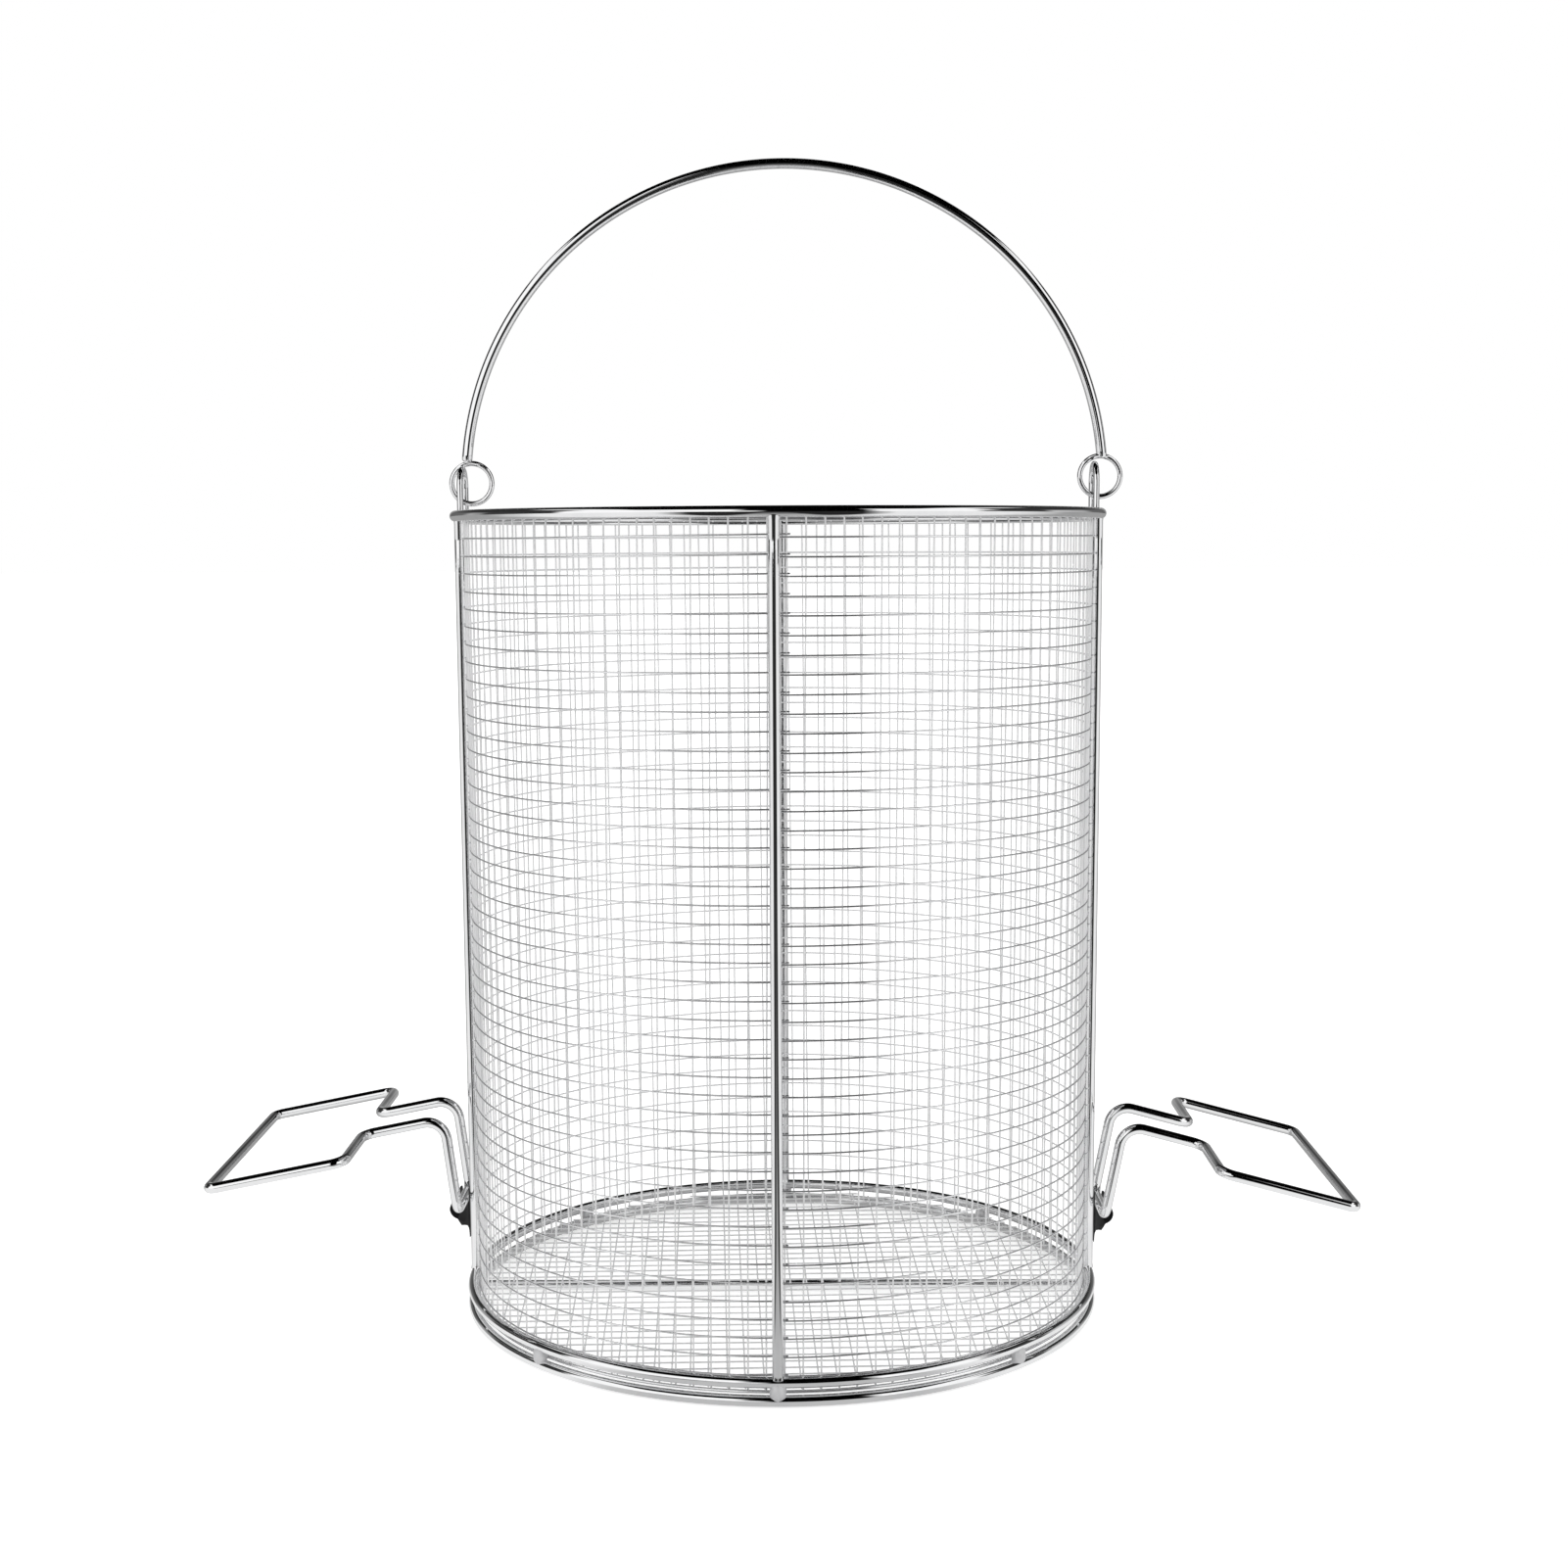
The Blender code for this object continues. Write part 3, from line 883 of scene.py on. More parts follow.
@dataclass
class Bail:
    """The carrying handle: a half circle of rod with a small wire eye welded under each end.

    Attributes:
        finishes: The finishes.
        wire: Radius of the rod.
        radius: Radius of the rod's centreline.
        centre: Centre of the half circle.
        rod_end: Factor for its size at its very ends.
        rod_foot: Swelling from the rod's rounded first end, as steps and factors.
        rod_head: The same to its last end.
        sink: How deep the rod's ends are welded into the eyes.
        eye_wire: Radius of the eye's wire.
        eye_radius: Radius of the eye's centreline.
        eye_reach: Distance of an eye's centre from the bail's middle.
        eye_height: Height of the eyes' centres.
        weld_from: Where an eye begins to widen to its weld, as a share of its radius.
        weld_spread: How fast it widens.
        left_shift: How far the left eye lies off its even place.
        slack: How much flatter the arc is than a half circle, as a share.
        slack_from: Height over the eyes' centres where the arc begins to flatten.
        tip: How far the bail hangs askew, its right end higher.
    """

    finishes: Finishes
    wire: float = 2.0 * MM
    radius: float = 121.8 * MM
    centre: Vector = field(default_factory=lambda: Vector((2.4 * MM, 0, 316.9 * MM)))
    rod_end: float = 0.72
    rod_foot: Pairs = ((0.35 * MM, 1.25), (0.35 * MM, 1.1111))
    rod_head: Pairs = ((0.35 * MM, 0.9), (0.35 * MM, 0.8))
    sink: float = 1.9 * MM
    eye_wire: float = 1.0 * MM
    eye_radius: float = 7.7 * MM
    eye_reach: float = 120.8 * MM
    eye_height: float = 319.5 * MM
    weld_from: float = 0.90
    weld_spread: float = 5.0
    left_shift: Vector = field(default_factory=lambda: Vector((1.0 * MM, 0, -0.2 * MM)))
    slack: float = 0.014
    slack_from: float = 10.0 * MM
    tip: float = math.radians(0.36)

    def build(self) -> None:
        """Bend the rod and both eyes."""
        top_of_eye = self.eye_height + self.eye_radius + self.eye_wire
        low = math.asin((top_of_eye - self.centre.z - self.sink) / self.radius)
        start = self.centre + Vector((math.cos(low), 0, math.sin(low))) * self.radius
        ends = sum(step for step, _ in (*self.rod_foot, *self.rod_head))
        rod = Rod("bail_arc", self.wire * self.rod_end).start(start, Vector((-math.sin(low), 0, math.cos(low))))
        rod.swell(self.rod_foot).bend(self.radius, math.pi - 2 * low - ends / self.radius, -DEEP, 200)
        arc = rod.swell(self.rod_head).finish()
        self.hang(arc, self.slack)
        hand_over(arc, Body.BAIL, Slot.ROD, self.finishes.rod, "bail_rod")
        self.build_eye(Side.LEFT, self.left_shift)
        self.build_eye(Side.RIGHT, Vector())

    def build_eye(self, side: Side, shift: Vector) -> None:
        """Bend one eye, its ends meeting in the weld under the rod.

        Args:
            side: The side that it is on.
            shift: How far it lies off its even place.
        """
        middle = Vector((self.centre.x + side.sign * self.eye_reach, 0, self.eye_height)) + shift
        rod = Rod(f"{side.word}_eye_ring", self.eye_wire, 20).start(middle + UP * self.eye_radius, ACROSS)
        eye = rod.bend(self.eye_radius, TURN, DEEP, 72).finish(closed=True)

        def place(point: Vector) -> Vector:
            """Widen the eye's top to its weld."""
            out = point - middle
            weld = max(0.0, out.z / self.eye_radius - self.weld_from)
            return point + Vector((0, out.y, 0)) * weld * self.weld_spread

        move_points(eye, place)
        self.hang(eye)
        hand_over(eye, Body.BAIL, Slot.ROD, self.finishes.rod, f"{side.word}_bail_eye")

    def hang(self, piece: Piece, slack: float = 0.0) -> None:
        """Let a piece of the bail hang as it does in use, the right end a little high.

        Args:
            piece: The piece.
            slack: How much flatter its upper part becomes, as a share.
        """
        pivot = Vector((self.centre.x - self.eye_reach, 0, self.eye_height))
        turn = Matrix.Rotation(-self.tip, 3, "Y")

        def place(point: Vector) -> Vector:
            """Flatten the upper part and tip the whole."""
            rise = max(0.0, point.z - self.eye_height - self.slack_from)
            return turn @ (point - UP * (rise * slack) - pivot) + pivot

        move_points(piece, place)


# Side loops and their hooks


@dataclass(frozen=True)
class Seat:
    """Where the cross wire of a side loop lies in its hook.

    Attributes:
        side: The side of the basket.
        height: Height of the seat.
        lean: How far the loop's legs and the hook's lip lean out, in degrees.
        reach: Distance from the basket's axis.
    """

    side: Side
    height: float
    lean: float
    reach: float = 126.0 * MM

    def put(self, point: Vector) -> Vector:
        """Carry a point, given from the seat with outwards as x, to its place on the basket."""
        facing = Matrix.Rotation(0.0 if self.side.sign > 0 else math.pi, 3, "Z")
        return facing @ point + Vector((self.side.sign * self.reach, 0, self.height))


@dataclass
class SideLoop:
    """One closed side loop of rod: narrow at its hook, bent outwards at the knee and wide at the end.

    Attributes:
        finishes: The finishes.
        seat: Its seat in the hook.
        body: The body that it is.
        wire: Radius of the rod.
        narrow: Half the width of the narrow part.
        wide: Half the width of the wide part.
        leg: Length of the legs from the cross wire to the knee.
        jog: Distance from the knee to where the loop widens.
        arm: Distance from the knee to the outer end.
        droop: How far the arms droop against the legs.
        foot_bend: Bend radius at the cross wire.
        knee_bend: Bend radius at the knee.
        jog_bend: Bend radius where the loop widens.
        end_bend: Bend radius at the outer corners.
        gap: What is left open between the rod's ends for their weld.
    """

    finishes: Finishes
    seat: Seat
    body: Body
    wire: float = 2.0 * MM
    narrow: float = 16.2 * MM
    wide: float = 55.0 * MM
    leg: float = 36.8 * MM
    jog: float = 32.1 * MM
    arm: float = 84.05 * MM
    droop: float = math.radians(4.0)
    foot_bend: float = 4.0 * MM
    knee_bend: float = 7.5 * MM
    jog_bend: float = 5.0 * MM
    end_bend: float = 3.4 * MM
    gap: float = 0.25 * MM

    def build(self) -> None:
        """Bend the loop and close it under its hook."""
        word = self.seat.side.word
        corners = self.lay_corners()
        start = (corners[0][0] + corners[-1][0]) / 2
        rod = Rod(f"{word}_loop_rod", self.wire).start(start, corners[0][0] - start)
        for index, (corner, radius) in enumerate(corners):
            onward = (corners[(index + 1) % len(corners)][0] - corner).normalized()
            angle = rod.along.angle(onward)
            setback = radius * math.tan(angle / 2)
            rod.straight((corner - rod.at).length - setback, 3)
            rod.bend(radius, angle, rod.along.cross(onward), max(6, int(math.degrees(angle) / 6)))
        rod.straight((start - rod.at).length - self.gap)
        hand_over(rod.finish(closed=True), self.body, Slot.ROD, self.finishes.rod, f"{word}_side_loop")

    def lay_corners(self) -> list[tuple[Vector, float]]:
        """List the loop's corners in order.

        Returns:
            Each corner with its bend radius.
        """
        arm = Vector((math.cos(self.droop), 0, -math.sin(self.droop)))
        knee = UP * self.leg
        ways = ((Vector(), self.narrow, self.foot_bend), (knee, self.narrow, self.knee_bend),
                (knee + arm * self.jog, self.narrow, self.jog_bend),
                (knee + arm * self.jog, self.wide, self.jog_bend),
                (knee + arm * self.arm, self.wide, self.end_bend))
        half = [(point - DEEP * width, radius) for point, width, radius in ways]
        other = [(Vector((point.x, -point.y, point.z)), radius) for point, radius in reversed(half)]
        lean = Matrix.Rotation(math.radians(self.seat.lean), 3, "Y")
        return [(self.seat.put(lean @ point), radius) for point, radius in half + other]


@dataclass
class Hook:
    """A black hook on the side of the basket, which holds the cross wire of a side loop.

    The sizes of its outline are in millimetres, from the seat.

    Attributes:
        finishes: The finishes.
        seat: The seat that it holds.
        bore: Radius of the groove.
        deeper: How much deeper the groove is than a round one.
        back: Where the back of the hook lies against the strut.
        top: Height of its upper end.
        foot: Height of its lower end.
        lip: How far the lip rises over the seat.
        skin: Thickness of the lip, and how fast the cradle grows below it.
        cradle: Radius of the cradle beside the lip.
        sweep: How far the cradle runs round below the lip, in degrees.
        tail: Thickness of the hook's lower end.
        taper: How fast it thins towards that end.
        half_width: Half the width of the cradle.
        neck: Width of the strip along the strut, as a share of the cradle's.
        neck_from: Where the strip begins to widen, outwards.
        neck_run: Over what distance it widens.
        edge: Radius of the rounded edges.
    """

    finishes: Finishes
    seat: Seat
    bore: float = 2.1
    deeper: float = 0.15
    back: float = -2.4
    top: float = 5.0
    foot: float = -15.5
    lip: float = 2.0
    skin: tuple[float, float] = (0.8, 0.9)
    cradle: float = 3.7
    sweep: float = 80.0
    tail: float = 0.2
    taper: float = 2.4
    half_width: float = 12.5 * MM
    neck: float = 0.12
    neck_from: float = -2.0
    neck_run: float = 1.5
    edge: float = 0.25 * MM

    def build(self) -> None:
        """Cut the hook's outline, extrude it across and round its edges."""
        word = self.seat.side.word
        outline = self.lay_outline()
        clear()
        bpy.ops.mesh.primitive_circle_add(vertices=len(outline), radius=5 * MM, fill_type="NOTHING")
        hook = bpy.context.active_object
        hook.name = f"{word}_hook_bracket"
        for point, (x, z) in zip(hook.data.vertices, outline):
            point.co = (x * MM, -self.half_width, z * MM)
        set_mode("EDIT")
        mark_all()
        bpy.ops.mesh.edge_face_add()
        bpy.ops.mesh.extrude_region_move(TRANSFORM_OT_translate={"value": DEEP * (2 * self.half_width)})
        set_mode("OBJECT")
        settle(hook, 30)
        bevel = hook.modifiers.new("round_edges", "BEVEL")
        bevel.width, bevel.segments, bevel.limit_method, bevel.angle_limit = self.edge, 2, "ANGLE", math.radians(50)
        bpy.ops.object.modifier_apply(modifier=bevel.name)

        def place(point: Vector) -> Vector:
            """Narrow the hook to a strip along the strut and seat it."""
            out = limit((point.x / MM - self.neck_from) / self.neck_run)
            share = self.neck + (1.0 - self.neck) * out * out * (3 - 2 * out)
            return self.seat.put(Vector((point.x, point.y * share, point.z)))

        move_points(hook, place)
        settle(hook, 40)
        hook.visible_glossy = False
        hand_over(hook, Body.BASKET, Slot.BLACK, self.finishes.black, f"{word}_hook")

    def lay_outline(self) -> list[tuple[float, float]]:
        """List the outline round the cross wire, outwards and up, in millimetres.

        Returns:
            The outline's points.
        """
        lean = math.radians(self.seat.lean)
        across, up = (math.cos(lean), -math.sin(lean)), (math.sin(lean), math.cos(lean))
        points = [(self.back, self.top), (-self.bore, self.top)]
        for step in range(13):
            angle = math.pi + (math.pi - lean) * step / 12
            points.append((self.bore * math.cos(angle), self.bore * math.sin(angle) - self.deeper))
        for out in (self.bore, self.bore + self.skin[0]):
            points.append((across[0] * out + up[0] * self.lip, across[1] * out + up[1] * self.lip))
        for step in range(12):
            angle, radius = -math.radians(self.sweep) * step / 11, self.cradle + self.skin[1] * step / 11
            points.append((radius * math.cos(angle), radius * math.sin(angle)))
        (x, z), strip = points[-1], self.back + self.tail
        for step in range(1, 9):
            points.append((strip + (x - strip) * (1 - step / 8) ** self.taper, z + (self.foot - z) * step / 8))
        return points + [(self.back, self.foot)]


# The wire mesh


@dataclass
class WireCloth:
    """The square welded wire mesh: laid out flat, then rolled up for the wall and trimmed round for the floor.

    The hoops lie on the outside of the uprights and are sunk into them a little at each crossing weld.

    Attributes:
        finishes: The finishes.
        rings: The frame that the wall is welded into.
        wire: Radius of the mesh wire.
        layer: Distance of each wire layer from the sheet's middle.
        sides: Faces round a mesh wire.
        columns: Uprights in one turn of the wall.
        rows: Hoops from the rim to the floor.
        pitch_up: Distance between two hoops.
        top_row: Height of the highest hoop.
        top: Height where the uprights end under the rim.
        bottom: Height where they end between the lower rings.
        first_angle: Angle of the first upright.
        hoop_ends: Where a hoop begins, and how far it runs past the turn, in columns.
        lap_columns: Over how many columns the lapping ends rise.
        lap_rise: How far they rise at the floor, and how much farther at the rim.
        lap_tuck: How far they are tucked inwards.
        lap_back: How far the last upright lies back, in columns.
        lap_inset: How far it lies inside the others.
        sway: How far an upright wanders sideways.
        sway_run: Length of that wander.
        frame_inset: Distance of the wall's middle from the frame's centreline.
        floor_height: Height of the floor mesh.
        floor_radius: Radius of the floor mesh.
        floor_pitch: Distance between two wires of the floor mesh.
        floor_count: Wires of the floor mesh each way.
        floor_turn: How far the floor mesh is turned.
        hem_wire: Radius of the selvedge wires that edge the wall.
        hem_high: Height of the selvedge wire under the rim.
        hem_low: Height of the selvedge wire between the lower rings.
        uneven: How far hoops, uprights and floor wires may lie off, in millimetres.
        wave: Depth of the floor's waves, and a length and a start for each way.
        row_shift: How far each hoop lies off its even height.
        column_shift: How far each upright lies off its even place.
        column_sway: Where each upright's wander begins.
    """

    finishes: Finishes
    rings: RingFrame
    wire: float = 0.32 * MM
    layer: float = 0.29 * MM
    sides: int = 8
    columns: int = 116
    rows: int = 45
    pitch_up: float = 6.56 * MM
    top_row: float = 298.4 * MM
    top: float = 305.6 * MM
    bottom: float = 3.4 * MM
    first_angle: float = math.radians(1.44)
    hoop_ends: tuple[float, float] = (-0.43, 0.20)
    lap_columns: int = 16
    lap_rise: tuple[float, float] = (0.3 * MM, 0.7 * MM)
    lap_tuck: float = 0.55 * MM
    lap_back: float = 0.293
    lap_inset: float = 0.5 * MM
    sway: float = 0.10 * MM
    sway_run: float = 47 * MM
    frame_inset: float = 3.05 * MM
    floor_height: float = 5.6 * MM
    floor_radius: float = 118.9 * MM
    floor_pitch: float = 6.45 * MM
    floor_count: int = 38
    floor_turn: float = math.radians(2.4)
    hem_wire: float = 0.62 * MM
    hem_high: float = 304.4 * MM
    hem_low: float = 4.4 * MM
    uneven: tuple[float, float, float] = (0.12, 0.14, 0.16)
    wave: tuple[float, ...] = (0.20 * MM, 31 * MM, 0.7, 37 * MM, -0.4)
    row_shift: list[float] = field(init=False, default_factory=list)
    column_shift: list[float] = field(init=False, default_factory=list)
    column_sway: list[float] = field(init=False, default_factory=list)

    def build(self) -> None:
        """Lay out and roll the wall, then lay out and trim the floor."""
        dice = random.Random(7)
        hoop, upright, _ = self.uneven
        self.row_shift = [dice.uniform(-hoop, hoop) * MM for _ in range(self.rows)]
        self.column_shift = [dice.uniform(-upright, upright) * MM for _ in range(self.columns + 2)]
        self.column_sway = [dice.uniform(0, TURN) for _ in range(self.columns + 2)]
        self.build_hoops()
        self.build_hem("wall_mesh_top_hem", self.hem_high, -1)
        self.build_hem("wall_mesh_low_hem", self.hem_low, 1)
        self.build_uprights()
        self.build_floor()

    def wall_radius(self, height: float) -> float:
        """Give the radius of the wall's middle at a height.

        Args:
            height: The height.

        Returns:
            The radius.
        """
        low, high = self.rings.base_height, self.rings.rim_height
        inner, outer = self.rings.base_radius, self.rings.rim_radius
        return inner + (outer - inner) * (height - low) / (high - low) - self.frame_inset

    def column_angle(self, column: float, height: float) -> float:
        """Give a column's angle, with the slight lean that the rolled sheet has."""
        lean = math.radians(0.0032) * (height / MM - 125.0)
        return self.first_angle + lean + TURN * column / self.columns

    def draw_wire(self, name: str, length: float, cuts: int, along: Vector) -> Piece:
        """Draw one straight wire from the origin, with even sections.

        Args:
            name: The piece's name.
            length: The wire's length.
            cuts: Cuts across it.
            along: The way it runs, an axis.

        Returns:
            The wire.
        """
        Rod(name, self.wire, self.sides).start(Vector(), along).straight(length)
        mark_all()
        bpy.ops.mesh.fill_holes(sides=0)
        bpy.ops.mesh.select_mode(type="EDGE")
        mark_all(False)
        set_mode("OBJECT")
        wire = bpy.context.active_object
        for edge in wire.data.edges:
            one, two = (wire.data.vertices[i].co for i in edge.vertices)
            edge.select = abs((one - two).normalized().dot(along)) > 0.9
        set_mode("EDIT")
        bpy.ops.mesh.subdivide(number_cuts=cuts)
        bpy.ops.mesh.select_mode(type="VERT")
        set_mode("OBJECT")
        return wire

    def repeat(self, wire: Piece, count: int, step: Vector) -> None:
        """Repeat a wire in even steps, joining ends that meet.

        Args:
            wire: The wire.
            count: How many there are in the end.
            step: From one to the next.
        """
        pick(wire)
        array = wire.modifiers.new("repeat", "ARRAY")
        array.count, array.constant_offset_displace = count, step
        array.use_relative_offset, array.use_constant_offset = False, True
        array.use_merge_vertices, array.merge_threshold = True, 0.01 * MM
        bpy.ops.object.modifier_apply(modifier=array.name)

    def build_hoops(self) -> None:
        """Draw the hoops as open wires that lap over each other at the front seam, and roll them up.

        While a wire is flat, one column of the sheet is one millimetre of it, in one and a half sections.
        """
        section = 2 * MM / 3
        Rod("wall_mesh_hoops", self.wire, self.sides).start(-ACROSS * MM, ACROSS).straight(section)
        set_mode("OBJECT")
        wire = bpy.data.objects["wall_mesh_hoops"]
        self.repeat(wire, int((self.columns + 3) * 1.5), ACROSS * section)
        set_mode("EDIT")
        for at, way in ((self.hoop_ends[0], -1), (self.columns + self.hoop_ends[1], 1)):
            mark_all()
            bpy.ops.mesh.bisect(plane_co=(at * MM, 0, 0), plane_no=(way, 0, 0), use_fill=True, clear_outer=True)
        set_mode("OBJECT")
        self.repeat(wire, self.rows, UP * -self.pitch_up)

        def place(point: Vector) -> Vector:
            """Roll a hoop up, with the lap at its seam."""
            row = min(self.rows - 1, max(0, round(-point.z / self.pitch_up)))
            column = point.x / MM
            height = self.top_row - row * self.pitch_up + self.row_shift[row]
            lap = max(0.0, (column - (self.columns - self.lap_columns)) / self.lap_columns)
            rise = (self.lap_rise[0] + self.lap_rise[1] * (1 - row / (self.rows - 1))) * lap
            tuck = self.lap_tuck * limit((column - self.columns + 1.4) / 0.8)
            radius = self.wall_radius(height) + self.layer - point.y - tuck
            return around(radius, self.column_angle(column, height), height + rise + point.z + row * self.pitch_up)

        move_points(wire, place)
        settle(wire, 80)
        hand_over(wire, Body.BASKET, Slot.MESH, self.finishes.hoop, "wall_mesh")

    def build_hem(self, name: str, height: float, way: int) -> None:
        """Bend one of the bright selvedge wires that edge the mesh.

        Args:
            name: The piece's name.
            height: Height of its centreline.
            way: 1 outside the wall, -1 inside.
        """
        radius = self.wall_radius(height) + way * (self.layer + self.hem_wire)
        hem = bend_ring(name, self.hem_wire, 12, radius, 0.4, height, 232)
        hand_over(hem, Body.BASKET, Slot.MESH, self.finishes.rod, "wall_mesh")

    def build_uprights(self) -> None:
        """Draw the uprights, one more than the turn needs because the seam laps, and roll them up."""
        apart = 10 * MM
        wire = self.draw_wire("wall_mesh_uprights", self.top - self.bottom, 23, UP)
        self.repeat(wire, self.columns + 1, ACROSS * apart)

        def place(point: Vector) -> Vector:
            """Roll the sheet up, each upright swaying a little."""
            column = round(point.x / apart)
            height = self.bottom + point.z
            back, inset = (self.lap_back, self.lap_inset) if column == self.columns else (0.0, 0.0)
            sway = self.sway * math.sin(height / self.sway_run + self.column_sway[column])
            radius = self.wall_radius(height) - self.layer - point.y - inset
            sideways = point.x - column * apart + self.column_shift[column] + sway
            return around(radius, self.column_angle(column - back, height) + sideways / radius, height)

        move_points(wire, place)
        settle(wire, 80)
        hand_over(wire, Body.BASKET, Slot.MESH, self.finishes.mesh, "wall_mesh")

    def build_floor(self) -> None:
        """Lay out the floor flat both ways, trim it round and join the two layers."""
        wires = []
        for name, along, across, way, seed in (("floor_mesh_across", ACROSS, DEEP, 1, 11),
                                               ("floor_mesh_deep", DEEP, ACROSS, -1, 12)):
            wire = self.draw_wire(name, self.floor_count * self.floor_pitch, 2 * self.floor_count - 1, along)
            self.repeat(wire, self.floor_count, across * self.floor_pitch)
            self.lay_floor(wire, along, across, way * self.layer, seed)
            settle(wire, 80)
            self.trim_floor(wire)
            wires.append(wire)
        pick(wires[0])
        wires[1].select_set(True)
        bpy.ops.object.join()
        floor = bpy.context.active_object
        floor.name = "floor_mesh_welded"
        settle(floor, 80)
        hand_over(floor, Body.BASKET, Slot.MESH, self.finishes.mesh, "floor_mesh")

    def lay_floor(self, wire: Piece, along: Vector, across: Vector, layer: float, seed: int) -> None:
        """Lay one way of the floor's wires in place, a little uneven as a trimmed sheet is.

        Args:
            wire: All wires of one way.
            along: The way they run.
            across: The way they are repeated.
            layer: Height of this layer over the sheet's middle.
            seed: Number that makes this layer differ.
        """
        count, pitch = self.floor_count, self.floor_pitch
        deep, long_x, start_x, long_y, start_y = self.wave
        turn = Matrix.Rotation(self.floor_turn, 3, "Z")
        dice = random.Random(seed)
        shifts = [dice.uniform(-self.uneven[2], self.uneven[2]) * MM for _ in range(count)]

        def place(point: Vector) -> Vector:
            """Lay a wire in its place, the whole turned and a little wavy."""
            number = min(count - 1, max(0, round(point.dot(across) / pitch)))
            run = point.dot(along) - count / 2 * pitch
            flat = along * run + across * (point.dot(across) - (count - 1) / 2 * pitch + shifts[number])
            wave = deep * math.sin(flat.x / long_x + start_x) * math.sin(flat.y / long_y + start_y)
            laid = turn @ flat
            laid.z = self.floor_height + layer + point.z + wave
            return laid

        move_points(wire, place)

    def trim_floor(self, wire: Piece) -> None:
        """Cut the floor's wires of one way off round.

        Args:
            wire: All wires of one way.
        """
        clear()
        bpy.ops.mesh.primitive_cylinder_add(vertices=128, radius=self.floor_radius, depth=20 * MM,
                                            location=(0, 0, self.floor_height))
        cutter = bpy.context.active_object
        pick(wire)
        trim = wire.modifiers.new("trim_round", "BOOLEAN")
        trim.operation, trim.solver, trim.object = "INTERSECT", "MANIFOLD", cutter
        bpy.ops.object.modifier_apply(modifier=trim.name)
        bpy.data.objects.remove(cutter)


# Studio and camera


def find_azimuth(graph: Graph, place: Socket) -> Socket:
    """Wire the azimuth of a direction or place as a share of the turn, 0.5 being the front.

    Args:
        graph: Where the nodes go.
        place: The direction or place.

    Returns:
        The share.
    """
    split = graph.node("SeparateXYZ", {0: place}).outputs
    angle = graph.maths("ARCTAN2", split[0], graph.maths("MULTIPLY", split[1], -1.0))
    return graph.maths("ADD", graph.maths("DIVIDE", angle, TURN), 0.5)


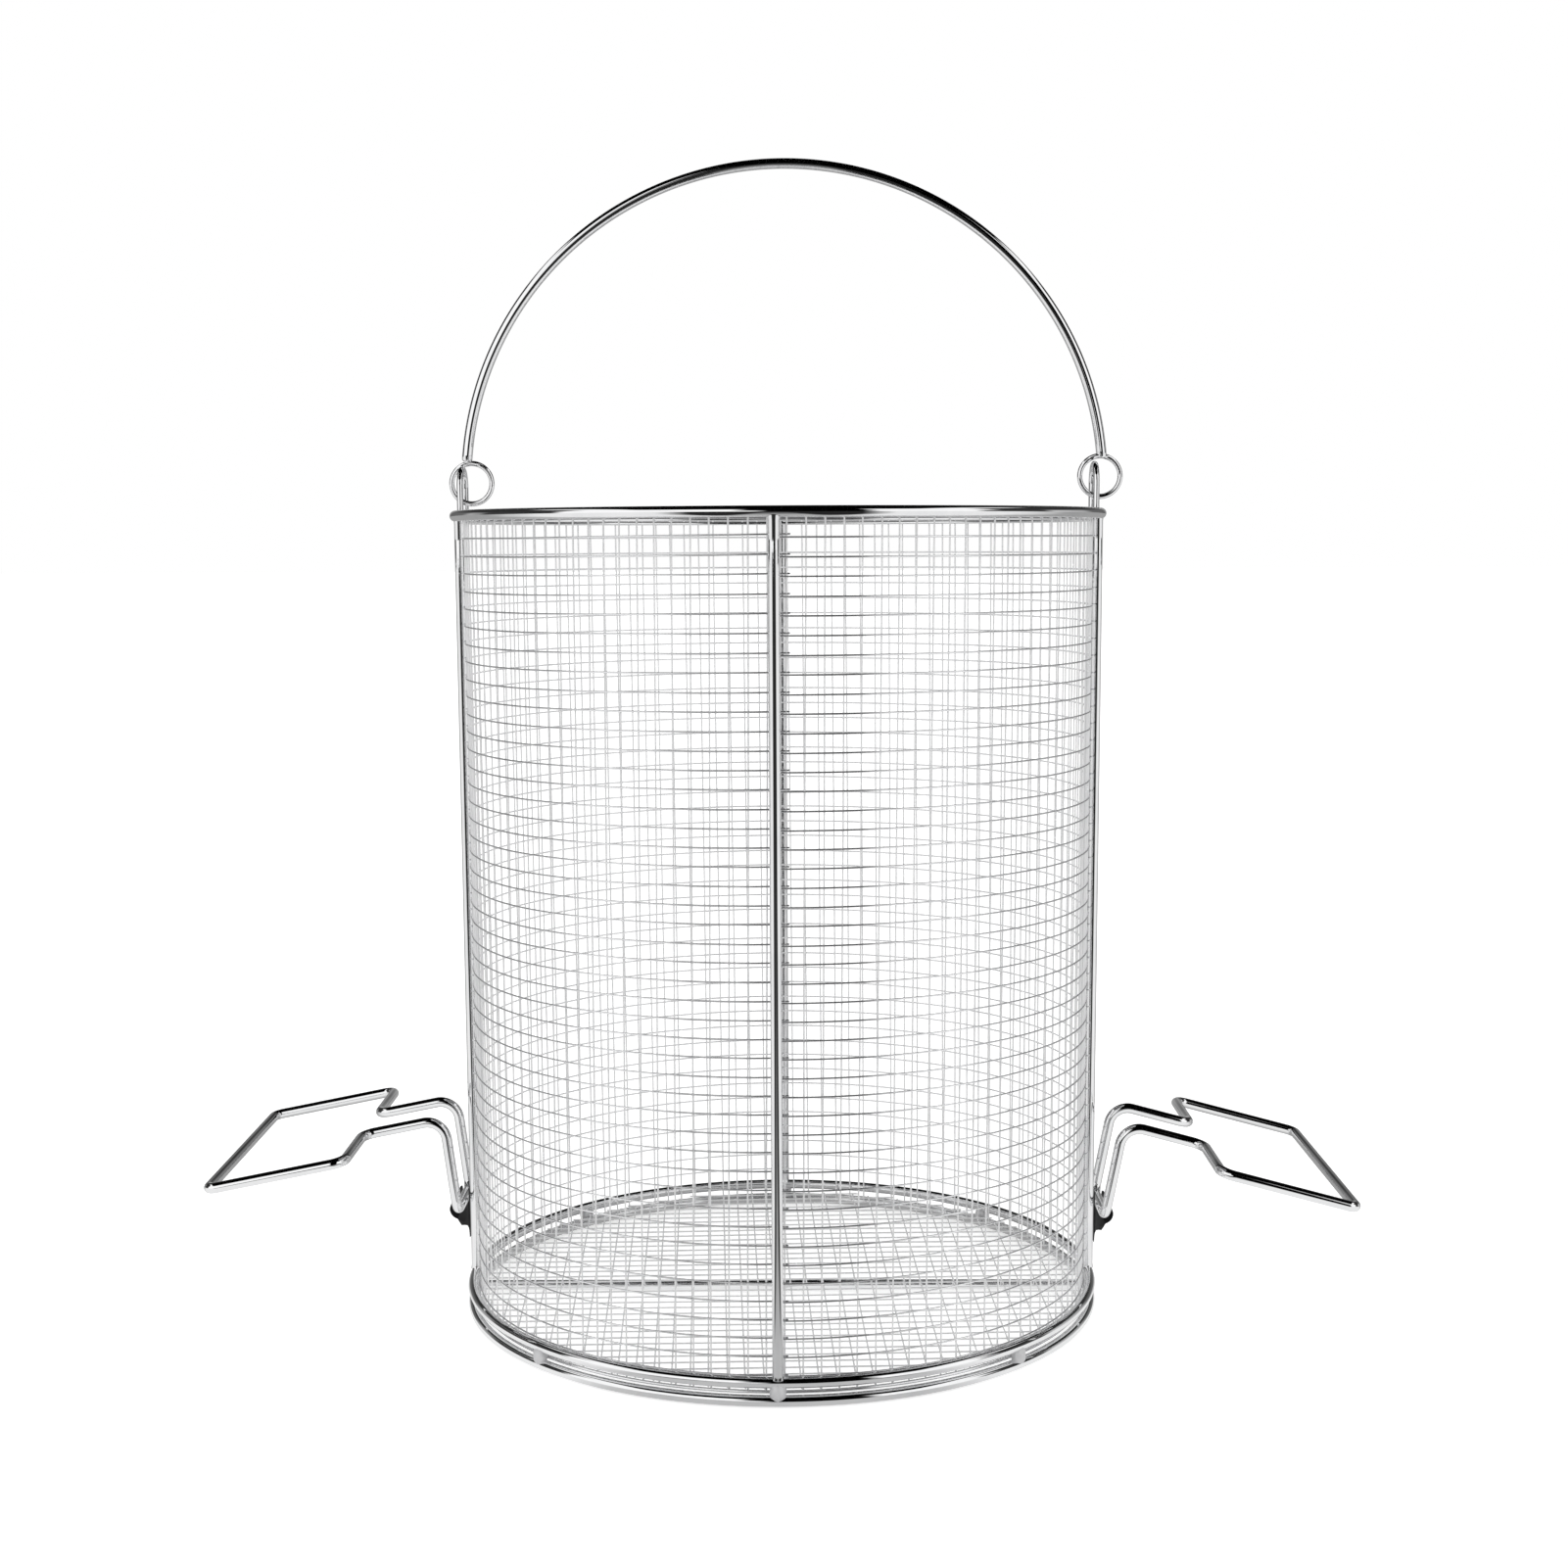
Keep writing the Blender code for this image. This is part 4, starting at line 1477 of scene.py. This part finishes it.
@dataclass
class Studio:
    """A plain white studio with black cards, which give bright metal its dark bands, and a white floor.

    The cards show in reflections alone. The two tables of cards give azimuths in degrees, and the share of the white
    that the cards leave there. The tables of the floor give its level in reflections.

    Attributes:
        fill: Level of the even light on matt surfaces.
        floor_albedo: Share of light that the floor throws back.
        floor_glow: Light added where the camera sees the floor, so that it shows white.
        low_cards: The cards near the horizon.
        high_cards: The cards higher up.
        rise: Sines of the heights between which the low cards give way to the high ones.
        overhead: Sines of the heights between which those give way to the card overhead.
        gap: Half the width of the card overhead, as a sine, and where its soft edge ends.
        ahead: The painted glow of the floor straight ahead, by half the distance.
        beside: The painted glow of the floor ahead but to the side, likewise.
        aside: From straight ahead to the side, by five times the distance across.
        sector: Where the floor counts as ahead, by the share of the turn.
        behind: The painted glow of the rest of the floor, likewise.
    """

    fill: float = 1.0
    floor_albedo: float = 0.80
    floor_glow: float = 0.50
    low_cards: Pairs = (
        (-180, 0.46), (-166, 0.32), (-160, 0.12), (-140, 0.14), (-132, 0.40), (-124, 0.28), (-119, 0.06),
        (-81, 0.03), (-77, 1.0), (-8, 1.0), (-3, 0.0), (30, 0.0), (35, 1.0), (71, 1.0), (75, 0.04),
        (104, 0.06), (110, 0.60), (132, 0.40), (140, 0.14), (160, 0.12), (166, 0.32), (180, 0.46))
    high_cards: Pairs = (
        (-180, 0.03), (-84, 0.03), (-78, 1.0), (-16, 1.0), (-11, 0.0), (31, 0.0), (36, 1.0), (78, 1.0),
        (84, 0.03), (180, 0.03))
    rise: tuple[float, float] = (0.15, 0.35)
    overhead: tuple[float, float] = (0.62, 0.68)
    gap: tuple[float, float] = (0.62, 0.66)
    ahead: Pairs = ((0.0, 0.6), (0.08, 0.5), (0.15, 0.33), (0.25, 0.2), (0.39, 0.1), (0.75, 0.03), (1.0, 0.03))
    beside: Pairs = ((0.0, 0.7), (0.06, 0.6), (0.085, 0.10), (0.12, 0.02), (1.0, 0.02))
    aside: Pairs = ((0.0, 0.0), (0.25, 0.0), (0.4, 1.0), (1.0, 1.0))
    sector: Pairs = ((0.0, 0.0), (0.39, 0.0), (0.42, 1.0), (0.58, 1.0), (0.61, 0.0), (1.0, 0.0))
    behind: Pairs = ((0.0, 0.35), (0.18, 0.35), (0.26, 0.85), (0.74, 0.85), (0.82, 0.35), (1.0, 0.35))

    def build(self) -> None:
        """Build the surroundings and the floor."""
        self.build_room()
        self.build_floor()

    def build_room(self) -> None:
        """Paint the room as bright metal mirrors it, even for matt surfaces and white for the camera."""
        world = bpy.data.worlds.new("studio_room")
        bpy.context.scene.world = world
        world.use_nodes = True
        graph = Graph(world.node_tree)
        direction = graph.node("TexCoord").outputs["Generated"]
        turn = find_azimuth(graph, direction)
        split = graph.node("SeparateXYZ", {0: direction}).outputs
        low, high = (graph.ramp(turn, [(degrees / 360 + 0.5, level) for degrees, level in cards])
                     for cards in (self.low_cards, self.high_cards))
        over = graph.spread(graph.maths("ABSOLUTE", split[0]), (0.0, 1.0), self.gap,
                            interpolation_type="SMOOTHSTEP")
        sides = graph.mix(graph.spread(split[2], (0.0, 1.0), self.rise), low, high)
        cards = graph.mix(graph.spread(split[2], (0.0, 1.0), self.overhead), sides, over)
        path = graph.node("LightPath").outputs
        mirrored = graph.maths("ADD", path["Is Glossy Ray"], path["Is Transmission Ray"])
        seen = graph.maths("ADD", path["Is Camera Ray"], mirrored)
        left = graph.mix(path["Is Glossy Ray"], 1.0, cards)
        level = graph.maths("MULTIPLY", graph.mix(seen, self.fill, 1.0), left)
        glow = graph.node("Background", {"Color": (1, 1, 1, 1), "Strength": level})
        graph.node("OutputWorld", {"Surface": glow.outputs[0]})

    def build_floor(self) -> None:
        """Lay the floor: white to the camera with the basket's soft shadow, and in reflections a painted glow, darker
        ahead.
        """
        clear()
        bpy.ops.mesh.primitive_plane_add(size=40.0, location=(0, 0, -0.1 * MM))
        floor = bpy.context.active_object
        floor.name = "studio_floor"
        material = bpy.data.materials.new("floor_paper")
        material.use_nodes = True
        graph = Graph(material.node_tree)
        place = graph.node("TexCoord").outputs["Object"]
        turn = find_azimuth(graph, place)
        split = graph.node("SeparateXYZ", {0: place}).outputs
        distance = graph.maths("MAXIMUM", graph.maths("MULTIPLY", split[1], -0.5), 0.0)
        distance = graph.maths("MINIMUM", distance, 1.0)
        aside = graph.ramp(graph.maths("MULTIPLY", graph.maths("ABSOLUTE", split[0]), 5.0), self.aside)
        ahead = graph.mix(aside, graph.ramp(distance, self.ahead), graph.ramp(distance, self.beside))
        mirrored = graph.mix(graph.ramp(turn, self.sector), graph.ramp(turn, self.behind), ahead)
        path = graph.node("LightPath").outputs
        tone = graph.spread(graph.noise(place, 30.0, 3.0), (self.floor_albedo - 0.01, self.floor_albedo + 0.01))
        matt = graph.node("BsdfDiffuse", {"Color": tone}).outputs[0]
        shown = graph.maths("MULTIPLY", path["Is Camera Ray"], self.floor_glow)
        glow = graph.node("Emission", {"Strength": shown}).outputs[0]
        lit = graph.node("AddShader", {0: matt, 1: glow}).outputs[0]
        # Painted light: reflections see a glow painted on the floor, a pool of light round the basket that darkens
        # ahead.
        painted_floor_glow = graph.node("Emission", {"Strength": mirrored}).outputs[0]
        mixed = graph.node("MixShader", {0: path["Is Glossy Ray"], 1: lit, 2: painted_floor_glow})
        graph.node("OutputMaterial", {"Surface": mixed.outputs[0]})
        floor.data.materials.append(material)


@dataclass(frozen=True)
class View:
    """The photograph's camera, found from the basket's rings.

    Attributes:
        focal: Focal length in pixels.
        width: Width of the image in pixels.
        sensor: Width of the camera's sensor in millimetres.
        distance: Distance from the basket's axis.
        height: Height above the floor.
        pitch: Tilt in radians, downwards.
        pan: Pan in radians.
        roll: Roll in radians, the right side up.
        turn: How far the basket is turned.
    """

    focal: float = 2323.9
    width: float = 1601.0
    sensor: float = 36.0
    distance: float = 0.87941
    height: float = 0.29799
    pitch: float = math.radians(6.165)
    pan: float = math.radians(0.117)
    roll: float = math.radians(0.27)
    turn: float = math.radians(-0.687)

    def build(self) -> None:
        """Make the camera and use it."""
        clear()
        bpy.ops.object.camera_add()
        camera = bpy.context.active_object
        camera.name = "photo_camera"
        camera.data.sensor_width = self.sensor
        camera.data.lens = self.focal * self.sensor / self.width
        camera.data.clip_start, camera.data.clip_end = 0.01, 100.0
        seen = (Matrix.Rotation(self.pitch, 4, "X") @ Matrix.Rotation(self.pan, 4, "Z")
                @ Matrix.Translation((0, self.distance, -self.height)) @ Matrix.Rotation(self.turn, 4, "Z"))
        upright = Matrix(((1, 0, 0, 0), (0, 0, 1, 0), (0, -1, 0, 0), (0, 0, 0, 1)))
        camera.matrix_world = (Matrix.Rotation(self.roll, 4, "Z") @ upright @ seen).inverted()
        bpy.context.scene.camera = camera


def main() -> None:
    """Build every piece, the studio and the camera."""
    logging.basicConfig(level=logging.INFO, format="%(message)s")
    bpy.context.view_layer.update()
    finishes = Finishes.build()
    rings = RingFrame(finishes)
    rings.build()
    Ears(finishes).build()
    Bail(finishes).build()
    seats = {Body.RIGHT_LOOP: Seat(Side.RIGHT, 35.6 * MM, 11.0), Body.LEFT_LOOP: Seat(Side.LEFT, 38.0 * MM, 7.4)}
    for body, seat in seats.items():
        SideLoop(finishes, seat, body).build()
    for seat in seats.values():
        Hook(finishes, seat).build()
    WireCloth(finishes, rings).build()
    Studio().build()
    View().build()
    bpy.context.scene.view_settings.view_transform = "Standard"


if __name__ == "__main__":
    main()
